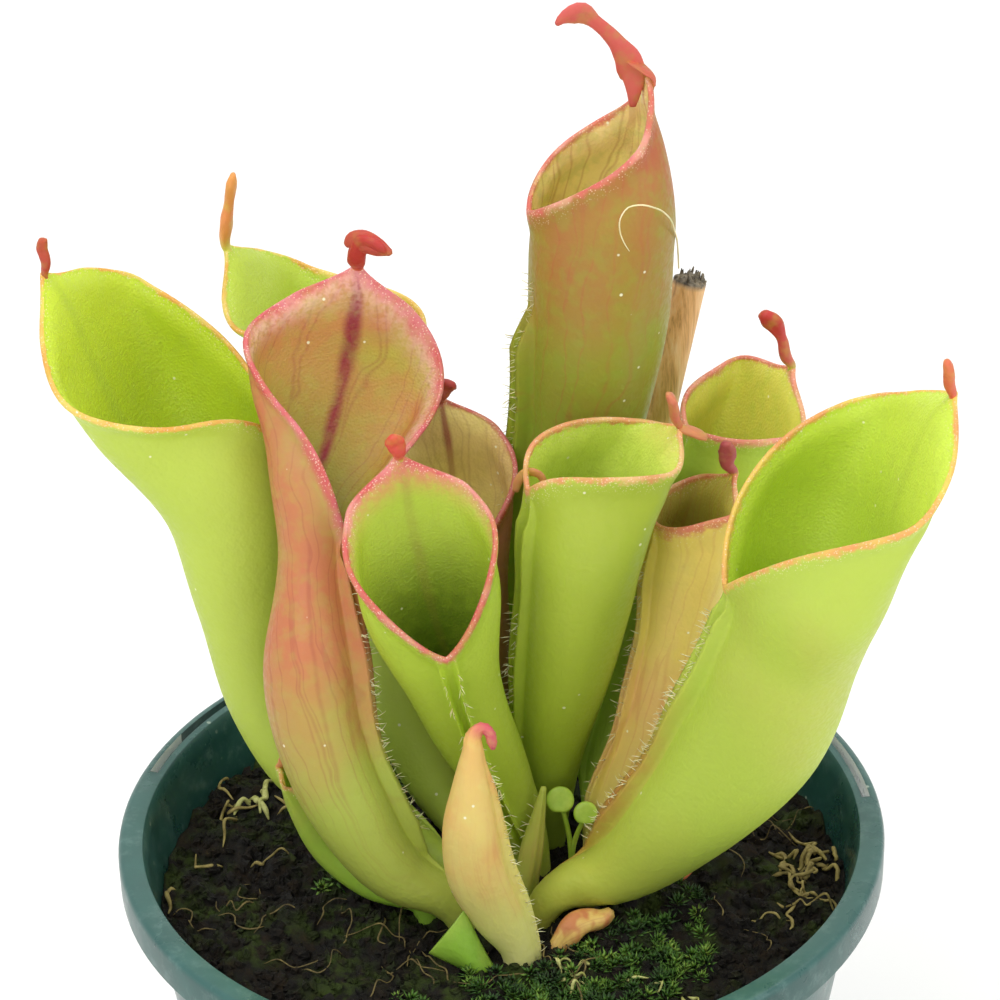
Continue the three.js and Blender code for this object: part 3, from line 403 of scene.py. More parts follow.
class Finish:
    """A node material, built up step by step."""

    def __init__(self, name, roughness=0.5, **shader_values):
        self.material = bpy.data.materials.new(name)
        self.material.use_nodes = True
        self.tree = self.material.node_tree
        self.tree.nodes.clear()
        self.shader = self.node("ShaderNodeBsdfPrincipled", {"subsurface_method": "BURLEY"},
                                Roughness=roughness, **shader_values)
        self.node("ShaderNodeOutputMaterial", Surface=self.shader.outputs[0])
        self.place = self.node("ShaderNodeTexCoord").outputs["Object"]

    def node(self, kind, settings=None, **inputs):
        return add_node(self.tree, kind, settings, **inputs)

    def reckon(self, operation, first, second):
        return self.node("ShaderNodeMath", {"operation": operation}, i0=first, i1=second).outputs[0]

    def times(self, first, second):
        return self.reckon("MULTIPLY", first, second)

    def plus(self, first, second):
        return self.reckon("ADD", first, second)

    def minus(self, first, second):
        return self.reckon("SUBTRACT", first, second)

    def mark(self, name):
        return self.node("ShaderNodeAttribute", {"attribute_name": name}).outputs["Fac"]

    def step(self, value, low, high, out_low=0.0, out_high=1.0):
        return self.node("ShaderNodeMapRange", {"interpolation_type": "SMOOTHSTEP"},
                         i0=value, i1=low, i2=high, i3=out_low, i4=out_high).outputs[0]

    def cloud(self, scale, detail=3, roughness=0.55, where=None):
        return self.node("ShaderNodeTexNoise", Vector=where or self.place, Scale=scale,
                         Detail=detail, Roughness=roughness).outputs["Fac"]

    def cells(self, scale, feature="F1", where=None):
        return self.node("ShaderNodeTexVoronoi", {"feature": feature},
                         Vector=where or self.place, Scale=scale).outputs["Distance"]

    def stretch(self, x, y, z):
        return self.node("ShaderNodeMapping", Vector=self.place, Scale=(x, y, z)).outputs[0]

    def join(self, x, y, z):
        return self.node("ShaderNodeCombineXYZ", i0=x, i1=y, i2=z).outputs[0]

    def blend(self, amount, first, second):
        mix = self.node("ShaderNodeMix", {"data_type": "RGBA"}, i0=amount, i6=first, i7=second)
        return mix.outputs[2]

    def ramp(self, value, *stops):
        node = self.node("ShaderNodeValToRGB", i0=value)
        elements = node.color_ramp.elements
        elements.remove(elements[1])
        elements[0].position, elements[0].color = stops[0][0], paint(stops[0][1])
        for position, code in stops[1:]:
            elements.new(position).color = paint(code)
        return node.outputs[0]

    def colour(self, value):
        self.tree.links.new(value, self.shader.inputs["Base Color"])

    def rough(self, value):
        self.tree.links.new(value, self.shader.inputs["Roughness"])

    def relief(self, height, strength, distance):
        bump = self.node("ShaderNodeBump", Height=height, Strength=strength, Distance=distance)
        self.tree.links.new(bump.outputs[0], self.shader.inputs["Normal"])


def leaf_finish(name, colours, blush=None, blush_amount=0.0, blush_from=(0.12, 0.5), patch_scale=45,
                vein_amount=0.3, midrib=0.0, throat_blush=0.0, painted_depth_shade=0.2, halo=0.0, halo_tone="e6b0a4",
                edge_width=1.2, edge_light="ecc48c", crown=0.0, keel=0.0):
    """Leaf skin: outside from foot to shoulder, inside the throat, a coloured rim, veins and down.

    Marks on the leaf: along runs from foot to tip, edge is the distance from the rim in millimetres,
    round runs from the back (0) to the front (1), rib is the distance from the midrib.
    """
    foot, belly, shoulder, throat, edge, vein, hood = colours.split()
    leaf = Finish(name, 0.48, Subsurface_Weight=0.4, Subsurface_Radius=(0.8, 1.0, 0.15),
                  Subsurface_Scale=0.002, Specular_IOR_Level=0.35)
    step, blend, cloud, mark = leaf.step, leaf.blend, leaf.cloud, leaf.mark
    times, plus, minus = leaf.times, leaf.plus, leaf.minus
    along, inside = mark("along"), mark("inside")
    edge_mm, round_ = mark("edge"), mark("round")
    blotch = cloud(70, 2)
    fine = cloud(1300, 1)
    # The outside, greener at the foot, with a blotchy flush
    climb = plus(along, times(minus(blotch, 0.5), 0.22))
    outside = leaf.ramp(climb, (0.02, foot), (0.32, belly), (0.85, shoulder))
    patch = cloud(patch_scale, 2, where=leaf.stretch(1, 1, 0.55))
    if blush:
        flush = times(step(patch, 0.36, 0.66), blush_amount)
        outside = blend(times(flush, step(climb, *blush_from)), outside, blush)
    # A net of veins, longest along the leaf
    wander = times(minus(cloud(90, 2), 0.5), 0.22)
    net_x, net_y = times(plus(round_, wander), 9.0), times(plus(along, wander), 1.7)
    net = leaf.cells(1.0, "DISTANCE_TO_EDGE", leaf.join(net_x, net_y, 0.0))
    veins = step(net, 0.0, 0.07, 1.0, 0.0)
    shown = times(times(veins, vein_amount), step(patch, 0.35, 0.62, 0.15, 0.9))
    outside = blend(times(shown, step(climb, 0.05, 0.35, 0.0, 0.65)), outside, vein)
    # The inside, with painted shade that darkens it towards a dark green with depth, and its midrib
    deep = step(edge_mm, 4.0, 34.0)
    # Painted shade: the dark green stands in for the shadow deep in the throat
    cavity = blend(deep, throat, blend(painted_depth_shade, throat, "3c5a0c"))
    if throat_blush > 0:
        warm = times(step(edge_mm, 1.0, 34.0, 1.0, 0.0), throat_blush)
        cavity = blend(times(warm, step(blotch, 0.3, 0.56)), cavity, blush or edge)
    cavity = blend(times(veins, vein_amount * 0.6), cavity, vein)
    if midrib > 0:
        off_rib = plus(mark("rib"), times(wander, 0.25))
        line = step(off_rib, 0.0, 0.045, 1.0, 0.0)
        cavity = blend(times(line, midrib), cavity, vein)
    if keel > 0:
        ridge = times(step(round_, 0.93, 0.98), step(along, 0.55, 0.3))
        ridge = times(times(ridge, step(patch, 0.3, 0.6)), keel)
        outside = blend(ridge, outside, "b4503c")
    skin = blend(inside, outside, cavity)
    if crown > 0:
        near_back = step(round_, 0.08, 0.5, 1.0, 0.0)
        peak = times(near_back, step(edge_mm, 0.5, 6.5, crown, 0.0))
        skin = blend(times(peak, step(fine, 0.25, 0.6, 0.55, 1.0)), skin, edge)
    # A fuzzy halo inside the rim, then the ragged rim with its beads, the hood and pale specks
    if halo > 0:
        fuzz = step(edge_mm, 0.5, halo, 0.75, 0.0)
        fuzz = times(times(fuzz, inside), step(fine, 0.3, 0.6, 0.35, 1.0))
        skin = blend(fuzz, skin, halo_tone)
    fray = times(minus(cloud(620, 2, 0.7), 0.5), 2.6)
    swing = times(minus(cloud(110, 2), 0.5), 2.4 * edge_width)
    ragged = plus(plus(edge_mm, fray), swing)
    rim = step(ragged, edge_width * 0.2, edge_width * 1.7, 0.9, 0.0)
    lip = blend(step(cloud(150, 1, 0.6), 0.4, 0.66, 0.0, 0.7), edge, edge_light)
    skin = blend(rim, skin, lip)
    pores = leaf.cells(2600)
    beads = times(step(pores, 0.14, 0.34, 0.6, 0.0), step(ragged, 0.4, 3.2, 1.0, 0.0))
    skin = blend(beads, skin, "f6e2cc")
    hood_tone = blend(step(blotch, 0.35, 0.65, 0.0, 0.6), hood, edge)
    skin = blend(mark("hood"), skin, hood_tone)
    skin = blend(step(cloud(420, 2), 0.42, 0.7, 0.0, 0.22), skin, belly)
    skin = blend(step(leaf.cells(210), 0.035, 0.06, 0.75, 0.0), skin, "f2f0d8")
    leaf.colour(skin)
    leaf.rough(step(fine, 0.3, 0.7, 0.4, 0.58))
    leaf.relief(blend(inside, fine, pores), 0.35, 0.00025)
    return leaf.material


# Colours of each leaf: foot, belly, shoulder, throat, edge of the mouth, veins, hood
LEAF_FINISHES = {
    "pitcher_front_left": leaf_finish(
        "velvet red leaf", "b4be50 a4b048 b68454 b6ac44 c8525a 8c2a34 b4362e", blush="c2664c",
        blush_amount=0.82, vein_amount=0.44, midrib=1.0, throat_blush=0.78, painted_depth_shade=0.4, edge_width=2.2,
        blush_from=(0.27, 0.54), halo=8.5, halo_tone="e6b4a8", edge_light="d8808a"),
    "pitcher_front_middle": leaf_finish(
        "green leaf with a red rim", "a8b444 a6bc38 acc23e a4b836 cc525a 8a7c34 cf4a34",
        vein_amount=0.12, midrib=0.4, edge_width=1.1, painted_depth_shade=0.75, halo=4.0, halo_tone="c87868",
        edge_light="e09a94", crown=0.9),
    "pitcher_middle_right": leaf_finish(
        "mid green leaf", "94aa3a a4b934 acbb42 ccde5c dd8a66 8fa834 c65650", vein_amount=0.12,
        edge_width=0.6, painted_depth_shade=0.25, crown=0.3),
    "pitcher_right": leaf_finish(
        "bright green leaf", "b6b748 afc44a b0c24c c2d848 e0905c 9cac3c c84a3a", blush="c88a60",
        blush_amount=0.15, vein_amount=0.1, midrib=0.25, edge_width=0.8, edge_light="ecc860", keel=0.8),
    "pitcher_left": leaf_finish(
        "yellow green leaf", "a8bf4c b2c54c b9cb50 bccf34 e09a4c 98ae40 ae3a30", vein_amount=0.1,
        midrib=0.3, edge_width=0.55, edge_light="e6d070"),
    "pitcher_back_left": leaf_finish(
        "thin green leaf", "b0c44e bdd25a c2d65c b4c846 dda04c a8b444 e08a54", vein_amount=0.1,
        edge_width=0.6, edge_light="e8d478"),
    "pitcher_tall_back": leaf_finish(
        "amber leaf", "80ac34 84a832 9a8430 fbe69a d0625c b0483c c44e46", blush="b25240",
        blush_amount=0.82, vein_amount=0.5, midrib=0.5, throat_blush=0.35, edge_width=0.9,
        blush_from=(0.56, 0.9), painted_depth_shade=0.0, edge_light="e8a898"),
    "pitcher_middle_back": leaf_finish(
        "brown red leaf", "a8964e a98a50 b07854 f0e088 bb4a50 8c2c38 a83c38", blush="b4685a",
        blush_amount=0.75, vein_amount=0.3, midrib=0.9, throat_blush=0.45, edge_width=1.2,
        edge_light="dc9488"),
    "pitcher_right_inner": leaf_finish(
        "peach leaf", "c4c068 d6c262 ecd66a b8a850 d06a5c bc5044 a4464a", blush="dc9a70",
        blush_amount=0.5, vein_amount=0.38, midrib=0.2, edge_width=0.8),
    "pitcher_right_back": leaf_finish(
        "shaded green leaf", "94b03e a0bf42 aec84c d2cc58 d26a68 98a83a b4342e", vein_amount=0.12,
        edge_width=0.9, edge_light="e8a090"),
    "young_pitcher": leaf_finish(
        "young leaf", "dce098 dad678 deac66 c8a050 d2727c c05a44 c84a5c", blush="dc8050",
        blush_amount=0.6, vein_amount=0.3, patch_scale=110),
    "small_pitcher_left": leaf_finish(
        "small pitcher", "98c840 a0cc42 a8b848 a5bc48 c07a3c 90b03c b87a48", vein_amount=0.1,
        edge_width=0.6),
    "small_leaf_front": leaf_finish(
        "folded leaf", "7cac34 80b034 8cb43c 8fbc40 b0683c a4b450 8fbc40", vein_amount=0.3,
        blush="a8b850", blush_amount=0.5, patch_scale=160),
    "small_shoot": leaf_finish(
        "shoot", "b8c458 a8bc4c a4b044 94b848 94b848 b07848 b0a050", vein_amount=0.3, blush="b89450",
        blush_amount=0.4, patch_scale=120),
    "faded_leaf": leaf_finish(
        "dying leaf", "b08440 bc7a4a c27848 dc7c5c c05a4c a44c3c c8684c", blush="d8b864",
        blush_amount=1.0, vein_amount=0.5, patch_scale=460, blush_from=(0.0, 0.2)),
}


def clouded_finish(name, roughness, scale, detail, *stops, relief_scale=None, **shader_values):
    """One clouded colour, with a fine relief where relief_scale is given."""
    finish = Finish(name, roughness, **shader_values)
    finish.colour(finish.ramp(finish.cloud(scale, detail), *stops))
    if relief_scale:
        finish.relief(finish.cloud(relief_scale, 2), 0.2, 0.0001)
    return finish.material


def pot_finish():
    plastic = Finish("teal pot plastic", 0.3, Specular_IOR_Level=0.5)
    wear = plastic.cloud(70, 5, 0.65)
    tint = plastic.ramp(wear, (0.3, "1f4541"), (0.55, "28534e"), (0.8, "3d6a65"))
    film = plastic.times(plastic.step(plastic.cloud(320, 6, 0.7), 0.48, 0.75), 0.25)
    tint = plastic.blend(film, tint, "8aa8a2")
    # Painted highlight: the faces on the rim's top are blended a little towards a paler teal, the way
    # light from above brightens them
    painted_rim_light = plastic.mark("top")
    tint = plastic.blend(plastic.times(painted_rim_light, 0.2), tint, "55837d")
    # Painted light: the marked skirt strips behind the slots turn pale, standing in for light seen through
    # the slots
    tint = plastic.blend(plastic.mark("slot"), tint, "e8efec")
    dust = plastic.step(plastic.cells(260), 0.06, 0.11, 1.0, 0.0)
    lucky = plastic.step(plastic.cloud(90, 2), 0.5, 0.62)
    tint = plastic.blend(plastic.times(dust, lucky), tint, "c9d4c4")
    plastic.colour(tint)
    plastic.rough(plastic.step(wear, 0.3, 0.8, 0.24, 0.46))
    plastic.relief(plastic.cloud(500, 3), 0.08, 0.0002)
    return plastic.material


def peat_finish(name, light):
    peat = Finish(name, 0.85, Specular_IOR_Level=0.3)
    grain = peat.cloud(420, 8, 0.7)
    patch = peat.cloud(75, 3)
    tone = peat.ramp(grain, (0.3, "070605"), (0.48, "120e09"), (0.62, "241b10"), (0.78, light))
    algae = peat.times(peat.step(patch, 0.4, 0.6), peat.step(peat.cloud(260, 4), 0.42, 0.62, 0.0, 0.85))
    peat.colour(peat.blend(algae, tone, "35450f"))
    peat.rough(peat.step(grain, 0.3, 0.7, 0.55, 0.95))
    peat.relief(grain, 0.9, 0.0012)
    return peat.material


def fibre_finish(name, dark, light, scale=500):
    fibre = Finish(name, 0.75)
    tone = fibre.cloud(scale, 4, 0.65)
    fibre.colour(fibre.ramp(tone, (0.32, dark), (0.68, light)))
    fibre.relief(tone, 0.5, 0.0002)
    return fibre.material


def cane_finish():
    cane = Finish("weathered cane", 0.6)
    fibres = cane.cloud(1.0, 5, 0.6, where=cane.stretch(1500, 1500, 60))
    tone = cane.ramp(fibres, (0.3, "b48850"), (0.5, "eab87c"), (0.68, "f0cc98"), (0.8, "f2deb8"))
    stain = cane.step(cane.cloud(160, 5, 0.7), 0.55, 0.75, 0.0, 0.4)
    tone = cane.blend(stain, tone, "5c4c34")
    frayed = cane.ramp(cane.cloud(900, 3), (0.35, "3c362a"), (0.7, "9c9078"))
    cane.colour(cane.blend(cane.mark("cut"), tone, frayed))
    cane.relief(fibres, 0.6, 0.0003)
    return cane.material


FINISH = {
    "pot": pot_finish(),
    "peat": peat_finish("wet peat", "3f3120"),
    "clods": peat_finish("peat clods", "3c3220"),
    "root": fibre_finish("root bark", "3a2c18", "6b5a34"),
    "dry moss": fibre_finish("dry sphagnum", "6a5c2c", "a8985a", 700),
    "fine roots": fibre_finish("fine roots", "3a3018", "80703e", 900),
    "moss": clouded_finish(
        "star moss", 0.55, 260, 3, (0.3, "182c0a"), (0.44, "2c4e14"), (0.56, "4c741e"), (0.7, "86a440"),
        relief_scale=2500, Subsurface_Weight=0.1, Subsurface_Scale=0.0008),
    "cane": cane_finish(),
    "hair": clouded_finish(
        "leaf hairs", 0.4, 300, 2, (0.3, "dcd49c"), (0.7, "f2e8c0"),
        Subsurface_Weight=0.2, Subsurface_Scale=0.0005),
    "seedling": clouded_finish(
        "seedling leaf", 0.4, 600, 3, (0.3, "a0c438"), (0.7, "bcd850"),
        relief_scale=1800, Subsurface_Weight=0.15, Subsurface_Scale=0.001),
    "pale sprig": fibre_finish("pale sprig", "8c8c40", "d0d088", 700),
    "orange curl": fibre_finish("orange curl", "a84c28", "d87848", 600),
}


# Scattering

def scatter_tree():
    """Copies of a small piece over a bed: as many as the bed's cover says, turned and sized at random."""
    tree = bpy.data.node_groups.new("scatter", "GeometryNodeTree")
    sockets = {
        "Bed": "NodeSocketGeometry", "Piece": "NodeSocketObject", "Per Square Metre": "NodeSocketFloat",
        "Smallest": "NodeSocketFloat", "Largest": "NodeSocketFloat", "Lean": "NodeSocketFloat",
        "Seed": "NodeSocketInt", "Finish": "NodeSocketMaterial",
    }
    for name, kind in sockets.items():
        tree.interface.new_socket(name, in_out="INPUT", socket_type=kind)
    tree.interface.new_socket("Result", in_out="OUTPUT", socket_type="NodeSocketGeometry")

    def add(*what, **inputs):
        return add_node(tree, *what, **inputs)

    given = add("NodeGroupInput").outputs
    cover = add("GeometryNodeInputNamedAttribute", {"data_type": "FLOAT"}, Name="cover")
    thick = add("ShaderNodeMath", {"operation": "MULTIPLY"},
                i0=cover.outputs["Attribute"], i1=given["Per Square Metre"])
    points = add("GeometryNodeDistributePointsOnFaces",
                 Mesh=given["Bed"], Density=thick.outputs[0], Seed=given["Seed"])
    piece = add("GeometryNodeObjectInfo", Object=given["Piece"])
    size = add("FunctionNodeRandomValue", {"data_type": "FLOAT"},
               i2=given["Smallest"], i3=given["Largest"], Seed=given["Seed"])
    other_way = add("ShaderNodeMath", {"operation": "MULTIPLY"}, i0=given["Lean"], i1=-1).outputs[0]
    low = add("ShaderNodeCombineXYZ", i0=other_way, i1=other_way)
    high = add("ShaderNodeCombineXYZ", i0=given["Lean"], i1=given["Lean"], i2=2 * math.pi)
    lean = add("FunctionNodeRandomValue", {"data_type": "FLOAT_VECTOR"},
               i0=low.outputs[0], i1=high.outputs[0], Seed=given["Seed"])
    angles = add("FunctionNodeEulerToRotation", i0=lean.outputs[0])
    turn = add("FunctionNodeRotateRotation", {"rotation_space": "LOCAL"},
               Rotation=points.outputs["Rotation"], Rotate_By=angles.outputs[0])
    copies = add("GeometryNodeInstanceOnPoints", Points=points.outputs["Points"],
                 Instance=piece.outputs["Geometry"], Rotation=turn.outputs[0], Scale=size.outputs[1])
    real = add("GeometryNodeRealizeInstances", i0=copies.outputs[0])
    coat = add("GeometryNodeSetMaterial", Geometry=real.outputs[0], Material=given["Finish"])
    add("NodeGroupOutput", i0=coat.outputs[0])
    return tree


SCATTER = scatter_tree()


def scatter(name, bed, piece, finish, per_square_metre, smallest, largest, lean, seed, soft=True):
    """Copies of a piece over a bed, as one mesh; sizes are factors of it and lean is in radians."""
    holder = put(name + "_bed", bed)
    modifier = holder.modifiers.new("scatter", "NODES")
    modifier.node_group = SCATTER
    values = {
        "Piece": piece, "Per Square Metre": per_square_metre, "Smallest": smallest, "Largest": largest,
        "Lean": lean, "Seed": seed, "Finish": finish,
    }
    for item in SCATTER.interface.items_tree:
        if item.in_out == "INPUT" and item.name in values:
            modifier[item.identifier] = values[item.name]
    graph = bpy.context.evaluated_depsgraph_get()
    mesh = bpy.data.meshes.new_from_object(holder.evaluated_get(graph), depsgraph=graph)
    holder.modifiers.clear()
    bpy.data.objects.remove(holder)
    mesh.polygons.foreach_set("use_smooth", [soft] * len(mesh.polygons))
    return show(name, mesh, finish)


def small_mesh(name, points, faces):
    mesh = bpy.data.meshes.new(name)
    mesh.from_pydata([tuple(0.001 * c for c in point) for point in points], [], faces)
    return put(name, mesh)


def hair_seed():
    """One hair, 1 mm long and bent a little."""
    points, faces = [], []
    for rise, reach, radius in ((0, 0, 0.055), (0.4, 0.03, 0.045), (0.75, 0.12, 0.03)):
        for i in range(3):
            a = 2 * math.pi * i / 3
            points.append((reach + radius * math.cos(a), radius * math.sin(a), rise))
    points.append((0.24, 0, 1.0))
    for k in (0, 3):
        for i in range(3):
            j = (i + 1) % 3
            faces.append((k + i, k + j, k + 3 + j, k + 3 + i))
    faces += [(6, 7, 9), (7, 8, 9), (8, 6, 9), (2, 1, 0)]
    return small_mesh("hair_seed", points, faces)


def moss_seed():
    """One star of moss: three whorls of seven leaflets, at most 1 mm long."""
    points, faces = [], []
    up = np.array([0, 0, 1.0])
    whorls = ((0.05, 1.0, 0.0), (0.45, 0.95, 0.25), (0.95, 0.75, 0.5))
    for whorl, (tilt, reach, height) in enumerate(whorls):
        for i in range(7):
            a = 2 * math.pi * (i / 7 + 0.37 * whorl)
            out = np.array([math.cos(a), math.sin(a), 0])
            side = np.array([-math.sin(a), math.cos(a), 0])
            base = out * 0.06 + up * height
            way = out * math.cos(tilt) + up * math.sin(tilt)
            n = len(points)
            middle = base + way * reach * 0.45
            points += [tuple(base), tuple(middle - side * 0.13 + up * 0.03), tuple(base + way * reach),
                       tuple(middle + side * 0.13 + up * 0.03), tuple(middle - up * 0.05)]
            faces += [(n, n + 4, n + 1), (n + 4, n + 2, n + 1), (n, n + 3, n + 4), (n + 3, n + 2, n + 4)]
            faces += [(n, n + 1, n + 3), (n + 1, n + 2, n + 3)]
    return small_mesh("moss_seed", points, faces)


def clod_seed():
    """An uneven crumb of peat, about 1 mm across."""
    points, faces = [(0, 0, 0.3)], []
    rings, around = 4, 6
    for r in range(1, rings):
        polar = math.pi * r / rings
        for i in range(around):
            a = 2 * math.pi * (i + 0.5 * r) / around
            way = Vector((math.sin(polar) * math.cos(a), math.sin(polar) * math.sin(a), math.cos(polar)))
            reach = 0.44 + 0.42 * noise.noise(way * 2.3 + Vector((3, 1, 5)))
            points.append((way.x * reach, way.y * reach, way.z * reach * 0.7))
    points.append((0, 0, -0.3))
    for i in range(around):
        j = (i + 1) % around
        faces.append((0, 1 + i, 1 + j))
        for r in range(rings - 2):
            a = 1 + r * around
            faces.append((a + i, a + around + i, a + around + j, a + j))
        last = 1 + (rings - 2) * around
        faces.append((last + i, len(points) - 1, last + j))
    return small_mesh("clod_seed", points, faces)


# Pitchers

# Columns of points round a leaf, in radians from its back and denser at the wings in front; rows up it
FRONT = [0.02, 0.05, 0.075, 0.095, 0.11, 0.125, 0.14, 0.16, 0.19, 0.24, 0.31, 0.4]
COLUMNS = np.concatenate([
    [-math.pi + a for a in FRONT], np.linspace(-2.66, 2.66, 72),
    [math.pi - a for a in FRONT[::-1]], [math.pi],
])
ROWS = np.concatenate([
    np.linspace(0, 0.3, 13)[:-1], np.linspace(0.3, 0.9, 42)[:-1], np.linspace(0.9, 1, 16),
])
FIRST_HOLLOW_ROW = 11
WALL = 0.8
RIM_BULGE = 0.24
FLARE_REACH, RUFFLE_REACH, RUFFLE = 2.5, 6, 0.35
WING_OFFSET, WING_SPREAD = 0.11, 0.028
WING_START, WING_RISE, WING_FALL = 0.1, 0.12, 0.05
LEAF_MARKS = ("along", "edge", "round", "rib", "inside", "hood")


class Pitcher:
    """The form of one pitcher: s runs from foot to rim, and v runs round it, 0 at the back."""

    def __init__(self, leaf):
        self.leaf = leaf
        self.at, self.length, _ = path_through(leaf["spine"])
        self.turn = smooth_table(leaf["turn"])
        self.form = smooth_table(leaf["form"])
        self.wing_top = leaf.get("wing_top", leaf["notch"])
        self.rib_lean = leaf.get("rib_lean", 0)

    def rim_at(self, v):
        """The t of the rim: the notch in front, 1 at the back."""
        x = 1 - np.abs(1 - np.abs(v) / math.pi)
        power, rise = self.leaf["arch"]
        return 1 - (1 - self.leaf["notch"]) * (1 - (1 - x**power) ** rise)

    def axes(self, t):
        up = unit(self.at(t + 1e-3) - self.at(t - 1e-3))
        angle = np.radians(self.turn(t)[..., 0])
        back = np.stack([np.cos(angle), np.sin(angle), np.zeros_like(angle)], -1)
        back = unit(back - (back * up).sum(-1, keepdims=True) * up)
        return up, back, np.cross(up, back)

    def outer(self, s, v):
        top = self.rim_at(v)
        t = s * top
        up, back, side = self.axes(t)
        wide, deep_back, deep_front = np.moveaxis(self.form(t), -1, 0)
        rim_mm = (top - t) * self.length
        flare = self.leaf["lip"] * np.exp(-((rim_mm / FLARE_REACH) ** 2))
        waves = np.sin(5 * v + self.leaf["spine"][0][0])
        ruffle = RUFFLE * np.exp(-((rim_mm / RUFFLE_REACH) ** 2)) * waves
        x = (wide + flare + ruffle) * np.sin(v)
        half_ellipse = np.where(np.cos(v) > 0, deep_back, deep_front)
        eased = deep_front + (deep_back - deep_front) * (1 + np.cos(v)) / 2
        depth = 0.3 * half_ellipse + 0.7 * eased + flare + ruffle * 0.5
        return self.at(t) + side * x[..., None] + back * (depth * np.cos(v))[..., None]

    def normal(self, s, v):
        along = self.outer(np.minimum(1, s + 0.012), v) - self.outer(np.maximum(0, s - 0.012), v)
        across = self.outer(s, v + 0.05) - self.outer(s, v - 0.05)
        return unit(np.cross(across, along))

    def wing(self, s, v):
        """How far the two thin wings stand up along the front."""
        t = s * self.rim_at(v)
        run = np.clip((t - WING_START) / WING_RISE, 0, 1) * np.clip((self.wing_top - t) / WING_FALL, 0, 1)
        from_front = math.pi - np.abs(v)
        soft = 1 + 0.12 * np.sin(t * 23 + 3 * np.sign(v))
        return self.leaf["wing"] * run * soft * np.exp(-(((from_front - WING_OFFSET) / WING_SPREAD) ** 2))


def build_pitcher(name):
    """A leaf as one closed shell: up the outside, over the rounded rim and down the inside."""
    pitcher = Pitcher(PITCHERS[name])
    s, v = np.meshgrid(ROWS, COLUMNS, indexing="ij")
    outer, normal = pitcher.outer(s, v), pitcher.normal(s, v)
    rim = pitcher.rim_at(v)
    edge = (rim - s * rim) * pitcher.length
    marks = dict(along=s * rim, edge=edge, round=np.abs(v) / math.pi,
                 rib=np.abs(v - pitcher.rib_lean * (1 - s)) / math.pi)
    outside = outer + normal * pitcher.wing(s, v)[..., None]
    wall = WALL - 0.1 * np.exp(-((edge / 2) ** 2))
    inside = outer - normal * wall[..., None]
    skin = Skin(*LEAF_MARKS)
    rings = [skin.ring(outside[k], **{m: a[k] for m, a in marks.items()}) for k in range(len(ROWS))]
    skin.cap(rings[0], pitcher.at(0), False)
    below = pitcher.outer(np.full_like(COLUMNS, 0.985), COLUMNS)
    lift = unit(pitcher.outer(np.ones_like(COLUMNS), COLUMNS) - below)
    middle = (outside[-1] + inside[-1]) / 2
    for turn_by in (45, 90, 135):
        a = math.radians(turn_by)
        bulge = middle + (lift * math.sin(a) + normal[-1] * math.cos(a)) * RIM_BULGE
        here = {m: r[-1] for m, r in marks.items()}
        rings.append(skin.ring(bulge, inside=turn_by / 90 - 0.5, **here))
    for k in range(len(ROWS) - 1, FIRST_HOLLOW_ROW - 1, -1):
        rings.append(skin.ring(inside[k], inside=1, **{m: a[k] for m, a in marks.items()}))
    skin.tube(rings)
    low = ROWS[FIRST_HOLLOW_ROW] * 0.9
    skin.cap(rings[-1], pitcher.at(low), True, inside=1, along=low, edge=60)
    add_hood(skin, pitcher, name)
    plant(skin.piece(name + "_leaf", LEAF_FINISHES[name]), name)
    return pitcher


def add_hood(skin, pitcher, name):
    """The narrow neck at the back of the mouth and the small papillose spoon on it."""
    back, neck = np.zeros(2), np.array([0.965, 0.993])
    root = pitcher.outer(neck, back) - pitcher.normal(neck, back) * WALL / 2
    tip = np.array(pitcher.leaf["spine"][-1])
    first = pitcher.leaf["spoon"][0]
    rows = [(*root[0], 0.25, 0.2), (*root[1], 0.6 * first[3], 0.6 * first[4])]
    rows += [(*(tip + np.array(row[:3])), row[3], row[4]) for row in pitcher.leaf["spoon"]]

    def dished(t, angle):
        bumps = 0.02 * np.sin(9 * angle + 21 * t) + 0.02 * np.sin(5 * angle - 33 * t)
        dish = 0.4 * np.exp(-(((t - 0.8) / 0.18) ** 2)) * np.exp(-(((angle - 1.5 * math.pi) / 0.8) ** 2))
        return 1 + bumps * min(1, 2 * t) - dish

    add_rod(skin, rows, 22, 30, dished, along=1, edge=8, round=0.2, inside=0,
            hood=lambda t, angle: np.clip((t - 0.1) / 0.25, 0, 1))
    for lobe in LOBES.get(name, []):
        add_rod(skin, lobe, 18, 16, along=1, edge=8, round=0.2, inside=0, hood=0.8)


def wing_bed(pitcher, low, high):
    """Narrow beds along the crests of the two wings, for their hairs."""
    points, faces = [], []
    for sign in (-1, 1):
        first = len(points)
        v = sign * (math.pi - WING_OFFSET)
        for t in np.linspace(low, high, 60):
            s = t / float(pitcher.rim_at(v))
            lift = float(pitcher.wing(np.array(s), np.array(v)))
            s_edges, v_edges = np.full(2, s), np.array([v - 0.02, v + 0.02])
            raised = pitcher.normal(s_edges, v_edges) * (lift - 0.1)
            points += list(pitcher.outer(s_edges, v_edges) + raised)
        faces += ribbon(first, len(points))
    return bed_mesh(points, faces)


hair = hair_seed()
for name, leaf in PITCHERS.items():
    grown = build_pitcher(name)
    if "hairs" in leaf:
        fringe = scatter(name + "_hairs", wing_bed(grown, *leaf["hairs"]), hair, FINISH["hair"],
                         per_square_metre=3.6e6, smallest=0.6, largest=1.7, lean=0.6, seed=7)
        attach(fringe, "root")


# Small leaves

def build_small(name, sides, steps, shape=None, **extra):
    """A small leaf as a rod; extra gives marks that differ from the plain ones."""
    skin = Skin(*LEAF_MARKS)
    marks = dict(along=lambda t, a: 0.1 + 0.8 * t, edge=6, inside=0, rib=1,
                 round=lambda t, a: np.abs(((a / math.pi) % 2) - 1), hood=0)
    marks.update(extra)
    add_rod(skin, SMALL[name], sides, steps, shape, **marks)
    plant(skin.piece(name + "_leaf", LEAF_FINISHES[name]), name)


